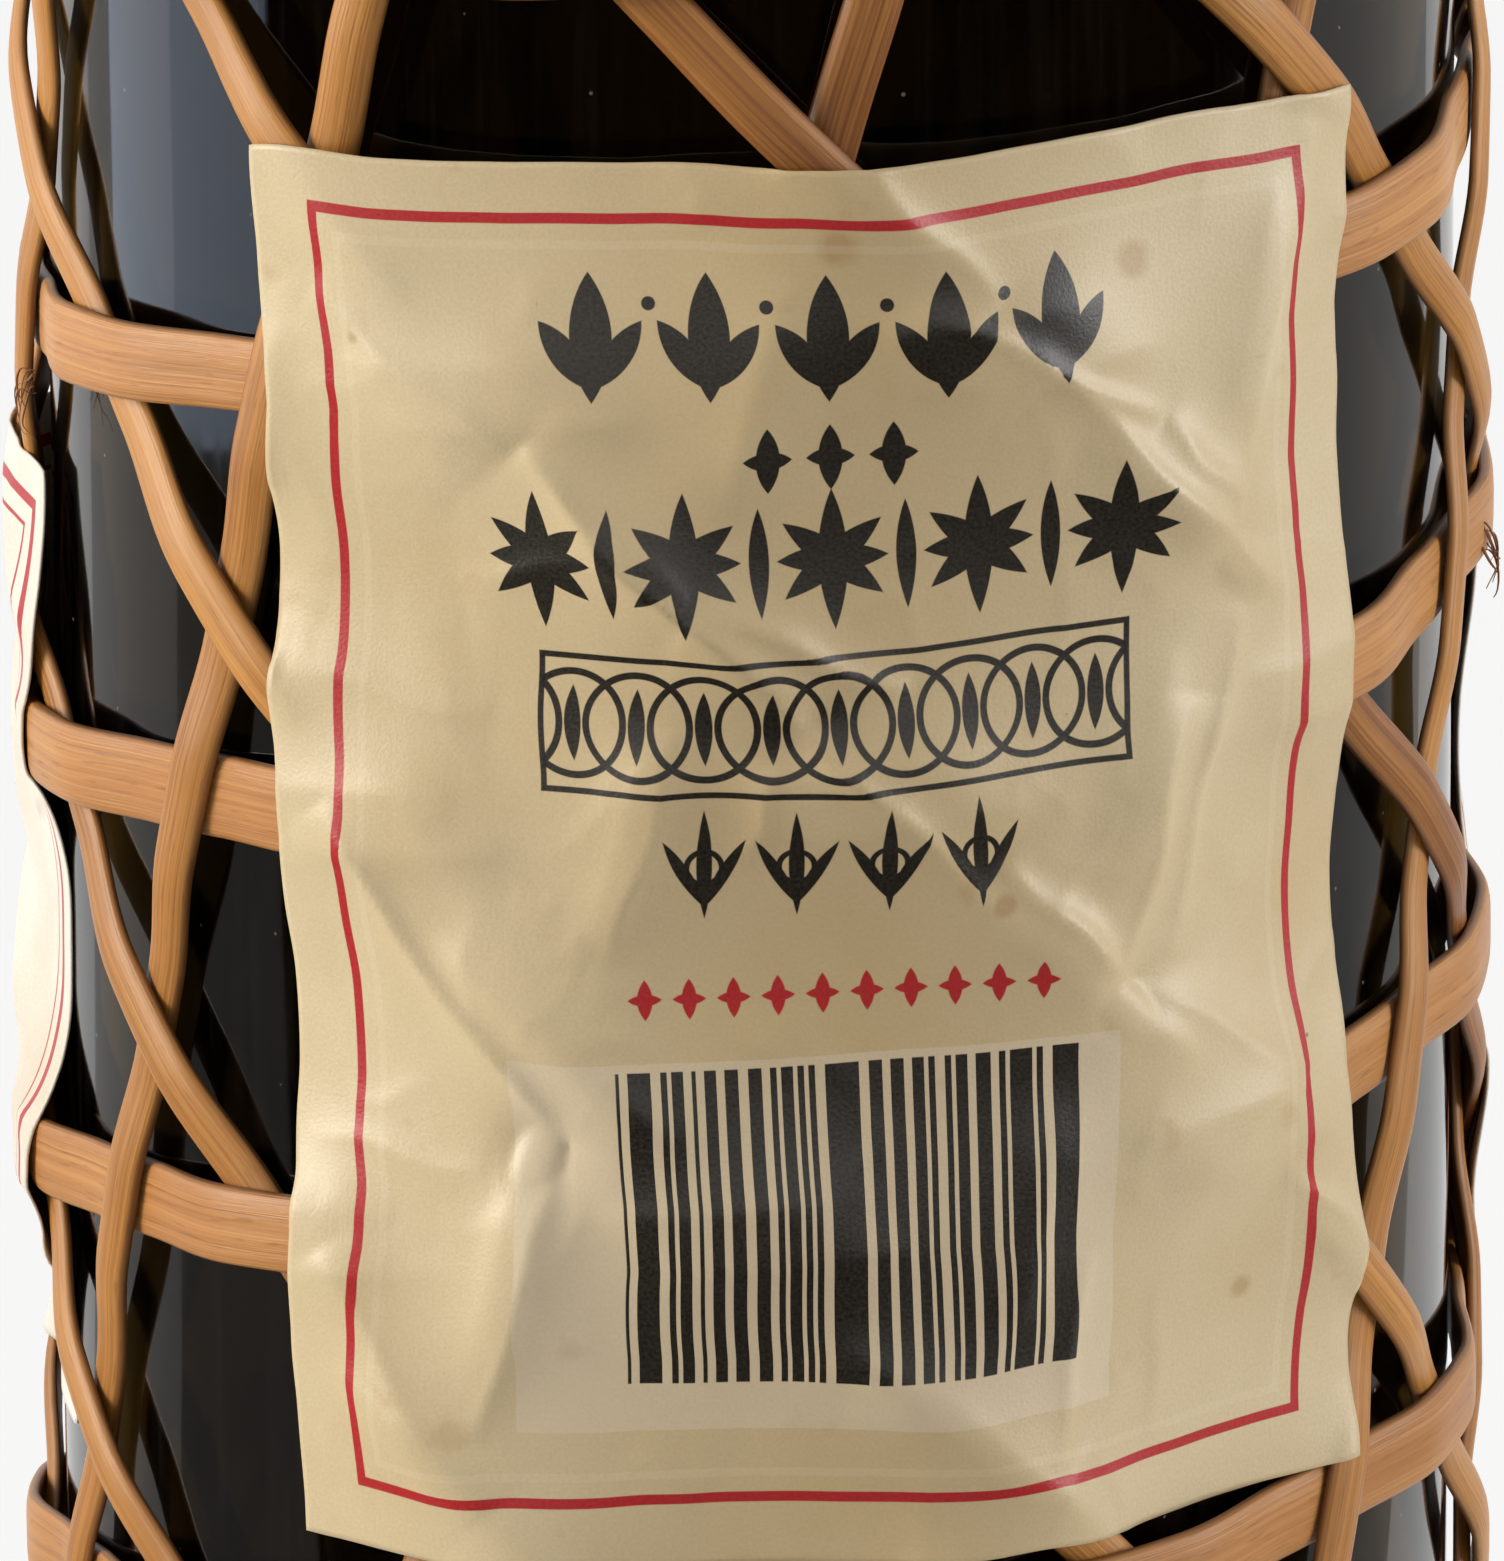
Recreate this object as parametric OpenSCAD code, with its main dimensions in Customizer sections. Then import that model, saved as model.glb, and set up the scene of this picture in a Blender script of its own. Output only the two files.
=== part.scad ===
/* [Glass bottle] */
// Outside radius of the straight body
body_r = 40.5; // [37:0.5:44]
// Height at which the shoulder starts to turn in
shoulder_z = 152; // [130:1:175]
// Radius of the shoulder's outward curve, seen from the side
shoulder_bend_r = 30; // [26:1:36]
// Radius of the inward curve from the shoulder to the neck, seen from the side
neck_bend_r = 22; // [18:1:28]
// Outside radius of the neck
neck_r = 14; // [13:0.25:15.5]
// Length of the straight neck, from the neck curve to the top of the lip
neck_len = 71; // [64:1:85]
// Thickness of the side wall
wall_t = 3; // [2:0.25:4]
// Height of the glass foot above the surface that the bottle stands on
glass_foot_z = 5; // [4.8:0.1:7]
// Radius of the rounded bottom edge
heel_r = 6; // [4:0.5:8]
// Radius of the push-up in the base, at the bottom
punt_r = 27; // [20:0.5:30]
// Height of the push-up
punt_h = 12; // [6:0.5:18]
// Thickness of the glass over the middle of the push-up
floor_t = 4; // [3:0.25:6]
// Thickness of the glass under the groove round the push-up
base_t = 4; // [3:0.25:6]
// Height of the raised ring at the lip
lip_h = 9; // [5:0.5:12]
// How far the lip ring stands out from the neck
lip_out_w = 1.3; // [0.5:0.1:2]
// Radius of the bore that grips the cork
bore_r = 9.3; // [8.5:0.1:9.9]
// Length of that bore, down from the top
bore_len = 50; // [46:1:56]
// Radius of the wider bore below it
neck_bore_r = 10.4; // [10:0.1:11]

/* [Cork] */
// Length of the cork
cork_len = 44; // [38:1:45]
// Depth of the cork's top below the top of the lip
cork_sink_h = 0.5; // [0.25:0.25:2]
// Free space between the cork and the bore
cork_gap = 0.05; // [0.02:0.01:0.08]
// Chamfer on both ends of the cork
cork_chamfer = 0.8; // [0.4:0.1:1.2]

/* [Woven cover] */
// Number of steep strands that rise to the left
left_count = 8; // [6:1:9]
// Height in which such a strand would go round the body once
left_turn_h = 265; // [240:5:300]
// Height in which a strand that rises to the right would go round once
right_turn_h = 925; // [800:25:1200]
// Angle of the first left strand at the height where the two families line up
left_start = 25.8; // [0:0.1:45]
// Angle of the first right strand at that height
right_start = 27.0; // [0:0.1:40]
// Height at which those two angles are taken
line_up_z = 76; // [60:1:90]
// Width of a round strand
strand_w = 3.2; // [2.4:0.1:3.4]
// Thickness of a round strand
strand_t = 1.1; // [0.9:0.1:1.6]
// Width of the flat band
band_w = 4.7; // [3.6:0.1:5]
// Thickness of the flat band
band_t = 1; // [0.8:0.1:1.4]
// Free space between the cover and the glass
seat_gap = 0.18; // [0.18:0.02:0.3]
// Free space where one strand passes over another
cross_gap = 0.2; // [0.15:0.05:0.35]

/* [Foot and collar] */
// Radius of the foot rim's round section
rim_tube_r = 4.2; // [3.6:0.1:4.6]
// How far the foot rim's centre line stands out from the body
rim_out_w = 2.3; // [2:0.1:4]
// Depth of the flat on which the foot rim stands
rim_flat_h = 0.5; // [0.3:0.1:0.8]
// Number of woven rows above the foot rim
foot_rows = 3; // [2:1:4]
// Number of woven rows round the neck curve
collar_rows = 6; // [4:1:6]
// Thickness of the rod that the rows are woven from
row_d = 3; // [2.4:0.1:3.2]
// Thickness of the collar's bound edge
edge_d = 4.4; // [3.6:0.1:5]
// Free space between neighbouring rows
row_gap = 0.2; // [0.15:0.05:0.4]
// Number of spokes in the mat under the glass
spoke_count = 8; // [4:2:10]
// Width of a spoke
spoke_w = 4; // [3:0.5:5]
// Thickness of a spoke
spoke_t = 1.6; // [1.2:0.1:1.8]
// Height of the mat's underside above the surface that the bottle stands on
mat_gap = 0.2; // [0.1:0.05:0.3]
// Number of rings woven on the spokes
mat_rings = 5; // [3:1:5]

/* [Labels] */
// Angle round the bottle that the back label covers
back_label_arc = 90.5; // [70:0.5:110]
// Height of the back label
back_label_h = 83; // [60:1:90]
// Angle of the back label's middle, to the right of the front
back_label_mid = 6.4; // [0:0.1:12]
// Height of the back label's middle
back_label_z = 83.3; // [76:0.1:88]
// Tilt of the back label on the bottle
back_label_tilt = 1.4; // [0:0.1:3]
// Angle round the bottle that the front label covers
front_label_arc = 189; // [140:1:200]
// Height of the front label
front_label_h = 59; // [45:1:70]
// Angle of the front label's middle
front_label_mid = 190; // [186:1:194]
// Height of the front label's middle
front_label_z = 69; // [60:1:90]
// Thickness of the paper with its glue
paper_t = 0.3; // [0.2:0.05:0.5]
// Free space between the paper and the highest strands
paper_gap = 0.1; // [0.05:0.05:0.3]

/* [Hidden] */
$fn = 96;
// How far a cut runs past the faces that it opens
overrun = 1;
// One more right strand than left ones makes the flat band a single unbroken spiral
right_count = left_count + 1;

// The side view of the glass: straight wall, outward bend, inward bend, straight neck
bend_a = acos(1 - (body_r - neck_r) / (shoulder_bend_r + neck_bend_r));
function arc_len(r, a) = r * a * PI / 180;
function arc_angle(len, r) = len / r * 180 / PI;
neck_z = shoulder_z + (shoulder_bend_r + neck_bend_r) * sin(bend_a);
top_z = neck_z + neck_len;
bend_s = shoulder_z + arc_len(shoulder_bend_r, bend_a);
neck_s = bend_s + arc_len(neck_bend_r, bend_a);

// Radius and height of a point at the length s up the side of the glass, lifted h off it
function skin(s, h) =
    s <= shoulder_z ? [body_r + h, s]
    : s <= bend_s ? let (a = arc_angle(s - shoulder_z, shoulder_bend_r), r = shoulder_bend_r + h)
        [body_r - shoulder_bend_r + r * cos(a), shoulder_z + r * sin(a)]
    : s <= neck_s ? let (a = bend_a - arc_angle(s - bend_s, neck_bend_r), r = neck_bend_r - h)
        [neck_r + neck_bend_r - r * cos(a), neck_z - r * sin(a)]
    : [neck_r + h, neck_z + s - neck_s];

// The same point in space, at an angle to the right of the front
function on_glass(s, angle, h) =
    let (p = skin(s, h)) [p[0] * sin(angle), -p[0] * cos(angle), p[1]];

// Points of an arc about a centre in the side view
arc_steps = 10;
function arc_points(centre, r, from, to) =
    [for (i = [0:arc_steps]) let (a = from + (to - from) * i / arc_steps) centre + r * [cos(a), sin(a)]];

// Push-up: a cap of a sphere
punt_ball_r = (punt_r * punt_r + punt_h * punt_h) / (2 * punt_h);
punt_centre = [0, glass_foot_z + punt_h - punt_ball_r];
// Inside, the wall meets the push-up in a rounded groove that touches wall and dome alike
inner_r = body_r - wall_t;
groove_r = heel_r - wall_t / 2;
groove_centre = [inner_r - groove_r, glass_foot_z + base_t + groove_r];
dome_top_z = glass_foot_z + punt_h + floor_t;
groove_drop = dome_top_z - groove_centre[1];
dome_r = (pow(groove_centre[0], 2) + pow(groove_drop, 2) - pow(groove_r, 2)) / (2 * (groove_r + groove_drop));
dome_centre = [0, dome_top_z - dome_r];
groove_a = asin(groove_centre[0] / (dome_r + groove_r));
// Inside, the neck opens from the cork's bore to the wider one in a cone as long as the wall is thick
bore_z = top_z - bore_len;
inner_bend_r = shoulder_bend_r - wall_t;
inner_neck_bend_r = neck_bend_r + neck_r - neck_bore_r;
inner_bend_a = acos(1 - (inner_r - neck_bore_r) / (inner_bend_r + inner_neck_bend_r));
inner_neck_z = shoulder_z + (inner_bend_r + inner_neck_bend_r) * sin(inner_bend_a);

// Heights of the woven cover above the glass
low_h = seat_gap;
left_high_h = seat_gap + strand_t + cross_gap;
right_high_h = seat_gap + band_t + cross_gap;
band_high_h = seat_gap + strand_t + cross_gap;
cover_t = left_high_h + strand_t;

// Rows at the foot and at the neck, by their length up the side of the glass
row_r = row_d / 2;
row_step = row_d + row_gap;
rim_r = body_r + rim_out_w;
rim_top_z = 2 * rim_tube_r - rim_flat_h;
foot_row_s = rim_top_z + row_gap + row_r;
weave_low_s = foot_row_s + (foot_rows - 1) * row_step + row_r + strand_w / 2 + row_gap;
collar_row_s = bend_s + row_r;
collar_step = row_step * neck_bend_r / (neck_bend_r - row_r - seat_gap);
edge_step = (row_step + edge_d / 2 - row_r) * neck_bend_r / (neck_bend_r - row_r - seat_gap) + row_gap;
edge_s = collar_row_s + (collar_rows - 1) * collar_step + edge_step;
weave_high_s = collar_row_s - row_r - strand_w / 2 - row_gap;

// Height that one spiral turn of the flat band climbs
meet_turn_h = 1 / (1 / left_turn_h + 1 / right_turn_h);
band_pitch = 1 / (left_count / left_turn_h + right_count / right_turn_h);
band_start = right_count * right_start - left_count * left_start - 180;

// Angles of the three families at the length s up the glass
function left_angle(i, s) = left_start + 360 * i / left_count - 360 * (s - line_up_z) / left_turn_h;
function right_angle(i, s) = right_start + 360 * i / right_count + 360 * (s - line_up_z) / right_turn_h;
function band_angle(s) = band_start + 360 * (s - line_up_z) / band_pitch;

// Each strand meets its partner where its phase is whole and the band where it is half way between
function left_phase(i) = right_count * (right_start - left_start) / 360 - right_count * i / left_count;
function right_phase(i) = left_count * (right_start - left_start) / 360 + left_count * i / right_count;
band_phase = left_count * (band_start - left_start) / 360;
left_rate = right_count / meet_turn_h;
right_rate = left_count / meet_turn_h;
band_rate = left_count / band_pitch + left_count / left_turn_h;

// Share of a weave step over which a strand stays level on either side of a crossing
level_share = 0.14;
// Share of the full lift at a phase: whole at whole phases, none half way between
function lift_share(phase) =
    let (d = abs(phase - round(phase)))
    d <= level_share ? 1 : d >= 0.5 - level_share ? 0 : (0.5 - level_share - d) / (0.5 - 2 * level_share);

// Lengths up the glass at which a strand has a section: three on each level stretch
section_shares = [-level_share, 0, level_share, 0.5 - level_share, 0.5, 0.5 + level_share];
end_share = 0.02;
function stations(phase, rate, low, high) =
    let (first = floor(phase + rate * (low - line_up_z)), last = ceil(phase + rate * (high - line_up_z)))
    concat(
        [low],
        [for (k = [first:last]) for (share = section_shares)
            let (s = line_up_z + (k + share - phase) / rate)
            if (s > low + end_share / rate && s < high - end_share / rate) s],
        [high]);

// Sections, as shares of the width and thickness: half-round for a strand, flat for the band
round_shares = [[-0.5, 0], [0.5, 0], [0.44, 0.55], [0.2, 1], [-0.2, 1], [-0.44, 0.55]];
flat_shares = [[-0.5, 0], [0.5, 0], [0.47, 1], [-0.47, 1]];
// A section lies square to a path that leans from the upright by an angle
function section(shares, w, t, s, angle, h, lean) =
    let (r = skin(s, h)[0])
    [for (p = shares) on_glass(
        s - p[0] * w * sin(lean),
        angle + arc_angle(p[0] * w * cos(lean), r),
        h + p[1] * t)];
function lean(s, h, lead) = atan(2 * PI * skin(s, h)[0] / lead);

// Skin of a tube of n-sided rings, with both ends closed
function tube_faces(rings, n) = concat(
    [for (i = [0:rings - 2]) for (j = [0:n - 1]) let (a = i * n + j, b = i * n + (j + 1) % n)
        each [[a, a + n, b + n], [a, b + n, b]]],
    [for (j = [1:n - 2]) [0, j, j + 1]],
    [for (j = [1:n - 2]) let (a = (rings - 1) * n) [a, a + j + 1, a + j]]);
module tube(rings) {
    polyhedron(points = [for (ring = rings) each ring], faces = tube_faces(len(rings), len(rings[0])));
}

module left_strand(i) {
    color("#c89664") tube([for (s = stations(left_phase(i), left_rate, weave_low_s, weave_high_s))
        let (over = lift_share(left_phase(i) + left_rate * (s - line_up_z)))
        let (h = low_h + (left_high_h - low_h) * over)
        section(round_shares, strand_w, strand_t, s, left_angle(i, s), h, lean(s, h, -left_turn_h))]);
}

module right_strand(i) {
    color("#d3a271") tube([for (s = stations(right_phase(i), right_rate, weave_low_s, weave_high_s))
        let (over = 1 - lift_share(right_phase(i) + right_rate * (s - line_up_z)))
        let (h = low_h + (right_high_h - low_h) * over)
        section(round_shares, strand_w, strand_t, s, right_angle(i, s), h, lean(s, h, right_turn_h))]);
}

module spiral_band() {
    low = weave_low_s - strand_w / 2 + band_w / 2;
    high = weave_high_s + strand_w / 2 - band_w / 2;
    color("#dcb184") tube([for (s = stations(band_phase, band_rate, low, high))
        let (over = lift_share(band_phase + band_rate * (s - line_up_z)))
        let (h = low_h + (band_high_h - low_h) * over)
        section(flat_shares, band_w, band_t, s, band_angle(s), h, lean(s, h, band_pitch))]);
}

module glass_bottle() {
    outside = concat(
        [[0, glass_foot_z]],
        [[body_r - heel_r, glass_foot_z]],
        arc_points([body_r - heel_r, glass_foot_z + heel_r], heel_r, -90, 0),
        arc_points([body_r - shoulder_bend_r, shoulder_z], shoulder_bend_r, 0, bend_a),
        arc_points([neck_r + neck_bend_r, neck_z], neck_bend_r, 180 + bend_a, 180),
        [[neck_r, top_z - lip_h - lip_out_w], [neck_r + lip_out_w, top_z - lip_h],
         [neck_r + lip_out_w, top_z - 2 * lip_out_w], [neck_r, top_z], [0, top_z]]);
    inside = concat(
        arc_points(dome_centre, dome_r, 90, 90 - groove_a),
        arc_points(groove_centre, groove_r, 270 - groove_a, 360),
        arc_points([inner_r - inner_bend_r, shoulder_z], inner_bend_r, 0, inner_bend_a),
        arc_points([neck_bore_r + inner_neck_bend_r, inner_neck_z], inner_neck_bend_r,
            180 + inner_bend_a, 180),
        [[neck_bore_r, bore_z - wall_t], [0, bore_z - wall_t]]);
    color("#1c1a14") difference() {
        rotate_extrude() polygon(outside);
        rotate_extrude() polygon(inside);
        translate([0, 0, bore_z - wall_t - overrun]) cylinder(h = overrun + wall_t, r1 = neck_bore_r, r2 = bore_r);
        translate([0, 0, bore_z - overrun]) cylinder(h = bore_len + 2 * overrun, r = bore_r);
        translate([0, 0, punt_centre[1]]) sphere(r = punt_ball_r);
    }
}

module cork() {
    r = bore_r - cork_gap;
    top = top_z - cork_sink_h;
    outline = [[0, top - cork_len], [r - cork_chamfer, top - cork_len], [r, top - cork_len + cork_chamfer],
        [r, top - cork_chamfer], [r - cork_chamfer, top], [0, top]];
    color("#c9a36f") rotate_extrude() polygon(outline);
}

// One rod bent round the glass, at the length s up its side
module row(s, d) {
    p = skin(s, seat_gap + d / 2);
    translate([0, 0, p[1]]) rotate_extrude() translate([p[0], 0]) circle(d = d, $fn = 32);
}

module foot_row(i) {
    color("#b07c55") row(foot_row_s + i * row_step, row_d);
}

module foot_rim() {
    color("#a9744c") difference() {
        translate([0, 0, rim_tube_r - rim_flat_h]) rotate_extrude() translate([rim_r, 0]) circle(r = rim_tube_r, $fn = 48);
        translate([0, 0, -rim_tube_r]) cylinder(h = rim_tube_r, r = rim_r + rim_tube_r + overrun);
    }
}

module base_spokes() {
    reach = rim_r - rim_tube_r - seat_gap;
    color("#b07c55") translate([0, 0, mat_gap]) linear_extrude(spoke_t) {
        for (i = [0:spoke_count / 2 - 1]) rotate(360 * i / spoke_count) square([2 * reach, spoke_w], center = true);
    }
}

module base_rings() {
    low = mat_gap + spoke_t + seat_gap;
    d = glass_foot_z - seat_gap - low;
    step = (body_r - heel_r) / mat_rings;
    color("#c89664") for (i = [1:mat_rings]) {
        translate([0, 0, low + d / 2]) rotate_extrude() translate([i * step - d / 2, 0]) circle(d = d, $fn = 32);
    }
}

module collar_row(i) {
    color("#b98659") row(collar_row_s + i * collar_step, row_d);
}

module collar_edge() {
    color("#a9744c") row(edge_s, edge_d);
}

module paper(h) {
    inner = body_r + cover_t + paper_gap;
    difference() {
        cylinder(h = h, r = inner + paper_t);
        translate([0, 0, -overrun]) cylinder(h = h + 2 * overrun, r = inner);
    }
}

module back_label() {
    reach = body_r + cover_t + paper_gap + paper_t;
    width = 2 * reach * sin(back_label_arc / 2);
    slack = reach;
    color("#e9e2cf") rotate([0, 0, back_label_mid]) translate([0, 0, back_label_z]) intersection() {
        translate([0, 0, -back_label_h / 2 - slack]) paper(back_label_h + 2 * slack);
        rotate([0, -back_label_tilt, 0]) translate([-width / 2, -reach - overrun, -back_label_h / 2])
            cube([width, reach + overrun, back_label_h]);
    }
}

module front_label() {
    inner = body_r + cover_t + paper_gap;
    color("#efebe2") rotate([0, 0, front_label_mid - front_label_arc / 2 - 90])
        translate([0, 0, front_label_z - front_label_h / 2])
        rotate_extrude(angle = front_label_arc) translate([inner, 0]) square([paper_t, front_label_h]);
}

function names(stem, count) = [for (i = [1:count]) str(stem, i)];

glass_bottle();
cork();
foot_rim();
base_spokes();
base_rings();
for (i = [1:foot_rows]) foot_row(i - 1);
for (i = [1:left_count]) left_strand(i - 1);
for (i = [1:right_count]) right_strand(i - 1);
spiral_band();
for (i = [1:collar_rows]) collar_row(i - 1);
collar_edge();
back_label();
front_label();
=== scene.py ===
"""Finishes the wicker wine bottle: glass, cork, woven cane, foot, collar, mat and paper labels."""
import math

import bmesh
import bpy
import numpy as np
from mathutils import Matrix, Vector


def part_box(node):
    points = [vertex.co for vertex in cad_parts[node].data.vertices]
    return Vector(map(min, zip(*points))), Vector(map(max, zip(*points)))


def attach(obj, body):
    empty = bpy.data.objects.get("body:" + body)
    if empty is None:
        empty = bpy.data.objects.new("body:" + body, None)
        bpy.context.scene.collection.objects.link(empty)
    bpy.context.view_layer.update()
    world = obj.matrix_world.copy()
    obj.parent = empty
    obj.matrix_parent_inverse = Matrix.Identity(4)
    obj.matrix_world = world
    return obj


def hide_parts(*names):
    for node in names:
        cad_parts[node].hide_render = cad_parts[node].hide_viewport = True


bl_info = {
    "name": "Wicker wine bottle",
    "version": (1, 0, 0),
    "blender": (4, 5, 0),
    "location": "View3D > Sidebar > Bottle",
    "description": "Models and finishes a dark wine bottle in an open three-way cane weave",
    "category": "Object",
}

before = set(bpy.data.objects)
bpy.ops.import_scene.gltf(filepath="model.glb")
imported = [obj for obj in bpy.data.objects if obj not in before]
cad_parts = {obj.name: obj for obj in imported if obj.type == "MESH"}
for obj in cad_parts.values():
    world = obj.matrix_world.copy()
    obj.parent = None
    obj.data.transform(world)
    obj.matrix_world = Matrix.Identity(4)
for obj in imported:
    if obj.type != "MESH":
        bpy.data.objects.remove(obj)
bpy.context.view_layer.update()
GLASS_LOW, GLASS_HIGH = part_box("glass_bottle")
BAND_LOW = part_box("spiral_band")[0]
CORK_LOW, CORK_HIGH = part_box("cork")
MM = 0.001
FULL_TURN = 2 * math.pi
QUARTER_TURN = math.pi / 2


class BottleSizes(bpy.types.PropertyGroup):
    """Sizes of the glass, in metres, as the part's own source has them."""

    shoulder_z: bpy.props.FloatProperty(
        name="Shoulder height", description="Height at which the shoulder turns in",
        default=0.152, unit="LENGTH")
    shoulder_bend: bpy.props.FloatProperty(
        name="Shoulder curve", description="Radius of the shoulder's outward curve",
        default=0.030, unit="LENGTH")
    neck_bend: bpy.props.FloatProperty(
        name="Neck curve", description="Radius of the inward curve to the neck", default=0.022, unit="LENGTH")
    neck_r: bpy.props.FloatProperty(
        name="Neck radius", description="Outside radius of the neck", default=0.014, unit="LENGTH")
    wall: bpy.props.FloatProperty(
        name="Wall", description="Thickness of the glass", default=0.003, unit="LENGTH")
    heel: bpy.props.FloatProperty(
        name="Heel", description="Radius of the rounded bottom edge", default=0.006, unit="LENGTH")
    punt_r: bpy.props.FloatProperty(
        name="Push-up radius", description="Radius of the push-up in the base", default=0.027, unit="LENGTH")
    punt_h: bpy.props.FloatProperty(
        name="Push-up height", description="Height of the push-up in the base", default=0.012, unit="LENGTH")
    floor: bpy.props.FloatProperty(
        name="Floor", description="Thickness of the glass over the push-up and under its groove",
        default=0.004, unit="LENGTH")
    lip_h: bpy.props.FloatProperty(
        name="Lip height", description="Height of the raised ring at the lip", default=0.009, unit="LENGTH")
    lip_out: bpy.props.FloatProperty(
        name="Lip overhang", description="How far the lip ring stands out", default=0.0013, unit="LENGTH")
    bore_r: bpy.props.FloatProperty(
        name="Bore", description="Radius of the bore that grips the cork", default=0.0093, unit="LENGTH")
    bore_len: bpy.props.FloatProperty(
        name="Bore length", description="Length of the cork's bore", default=0.050, unit="LENGTH")
    neck_bore_r: bpy.props.FloatProperty(
        name="Neck bore", description="Radius of the wider bore below it", default=0.0104, unit="LENGTH")


class WeaveSizes(bpy.types.PropertyGroup):
    """Sizes of the woven cover, in metres and degrees."""

    left_count: bpy.props.IntProperty(
        name="Left strands", description="Number of strands that rise to the left", default=8)
    left_turn: bpy.props.FloatProperty(
        name="Left climb", description="Height in which a left strand would go round once",
        default=0.265, unit="LENGTH")
    right_turn: bpy.props.FloatProperty(
        name="Right climb", description="Height in which a right strand would go round once",
        default=0.925, unit="LENGTH")
    left_start: bpy.props.FloatProperty(
        name="Left start", description="Degrees of the first left strand where the families line up",
        default=25.8)
    right_start: bpy.props.FloatProperty(
        name="Right start", description="Degrees of the first right strand there", default=27.0)
    line_up_z: bpy.props.FloatProperty(
        name="Line-up height", description="Height at which those angles are taken",
        default=0.076, unit="LENGTH")
    strand_w: bpy.props.FloatProperty(
        name="Strand width", description="Width of a round strand", default=0.0032, unit="LENGTH")
    strand_t: bpy.props.FloatProperty(
        name="Strand thickness", description="Thickness of a round strand", default=0.0010, unit="LENGTH")
    band_w: bpy.props.FloatProperty(
        name="Band width", description="Width of the flat band", default=0.0047, unit="LENGTH")
    band_t: bpy.props.FloatProperty(
        name="Band thickness", description="Thickness of the flat band", default=0.0009, unit="LENGTH")
    seat_gap: bpy.props.FloatProperty(
        name="Seat gap", description="Space between the cane and the glass", default=0.00018, unit="LENGTH")
    cross_gap: bpy.props.FloatProperty(
        name="Crossing gap", description="Space where one strand passes over another", default=0.0001,
        unit="LENGTH")
    bridge: bpy.props.FloatProperty(
        name="Bridge", description="Space under a stiff round strand where it passes below another",
        default=0.00038, unit="LENGTH")
    band_rise: bpy.props.FloatProperty(
        name="Band rise", description="How far the flat band rides above the middle between the crossings",
        default=0.0011, unit="LENGTH")


class LabelSizes(bpy.types.PropertyGroup):
    """Sizes of the paper labels, in metres and degrees."""

    back_w: bpy.props.FloatProperty(
        name="Back label width", description="Flat width of the back label", default=0.0680, unit="LENGTH")
    back_h: bpy.props.FloatProperty(
        name="Back label height", description="Flat height of the back label", default=0.083, unit="LENGTH")
    back_mid: bpy.props.FloatProperty(
        name="Back label place", description="Degrees of its middle to the right of the front", default=6.8)
    back_z: bpy.props.FloatProperty(
        name="Back label level", description="Height of its middle", default=0.0833, unit="LENGTH")
    back_tilt: bpy.props.FloatProperty(
        name="Back label tilt", description="Degrees by which it rises to the right", default=1.4)
    front_arc: bpy.props.FloatProperty(
        name="Front label wrap", description="Degrees that the front label covers", default=189)
    front_h: bpy.props.FloatProperty(
        name="Front label height", description="Flat height of the front label", default=0.059, unit="LENGTH")
    front_mid: bpy.props.FloatProperty(
        name="Front label place", description="Degrees of its middle from the front", default=190)
    front_z: bpy.props.FloatProperty(
        name="Front label level", description="Height of its middle", default=0.069, unit="LENGTH")
    paper_t: bpy.props.FloatProperty(
        name="Paper", description="Thickness of the paper", default=0.00014, unit="LENGTH")


class BottleColours(bpy.types.PropertyGroup):
    """Colours as sRGB hex values, which linear() turns to linear."""

    glass: bpy.props.StringProperty(name="Glass", description="Tint of the bottle glass", default="#3A2A0E")
    round_cane: bpy.props.StringProperty(
        name="Round strands", description="Light, middle and dark tone", default="#CF944E #AE7535 #7A471E")
    flat_cane: bpy.props.StringProperty(
        name="Flat band", description="Light, middle and dark tone", default="#D29B5E #B87F47 #9A6534")
    twined_cane: bpy.props.StringProperty(
        name="Foot and collar", description="Light, middle and dark tone", default="#CC9350 #A36A32 #633815")
    mat_cane: bpy.props.StringProperty(
        name="Mat", description="Light, middle and dark tone", default="#C48B4A #9C632E #633815")
    torn_cane: bpy.props.StringProperty(
        name="Frayed fibres", description="Light, middle and dark tone", default="#B9773A #8A5224 #4F2C10")
    paper: bpy.props.StringProperty(name="Back paper", description="Aged cream paper", default="#D6C4A0")
    white_paper: bpy.props.StringProperty(name="Front paper", description="White paper", default="#EDE9E0")
    red_ink: bpy.props.StringProperty(name="Red ink", description="Frame line", default="#AE0C1A")
    black_ink: bpy.props.StringProperty(name="Black ink", description="Ornament", default="#120F0C")
    cork: bpy.props.StringProperty(name="Cork", description="Body of the cork", default="#C39A68")
    floor: bpy.props.StringProperty(name="Floor", description="Studio floor", default="#F4F4F4")


def linear(hex_value):
    """Turns an sRGB hex value to a linear colour with alpha."""
    parts = [int(hex_value[i:i + 2], 16) / 255 for i in (1, 3, 5)]
    return [c / 12.92 if c <= 0.04045 else ((c + 0.055) / 1.055) ** 2.4 for c in parts] + [1.0]


def shoulder_turn(body, neck, curves):
    """Angle through which the side turns in, where two curves join a body's radius to a neck's."""
    return math.acos(1 - (body - neck) / curves)


def collar_start():
    """Length up the glass at which the outward bend ends and the collar starts."""
    size = bpy.context.scene.bottle_sizes
    bend = shoulder_turn(GLASS_HIGH.x, size.neck_r, size.shoulder_bend + size.neck_bend)
    return size.shoulder_z + size.shoulder_bend * bend


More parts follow.
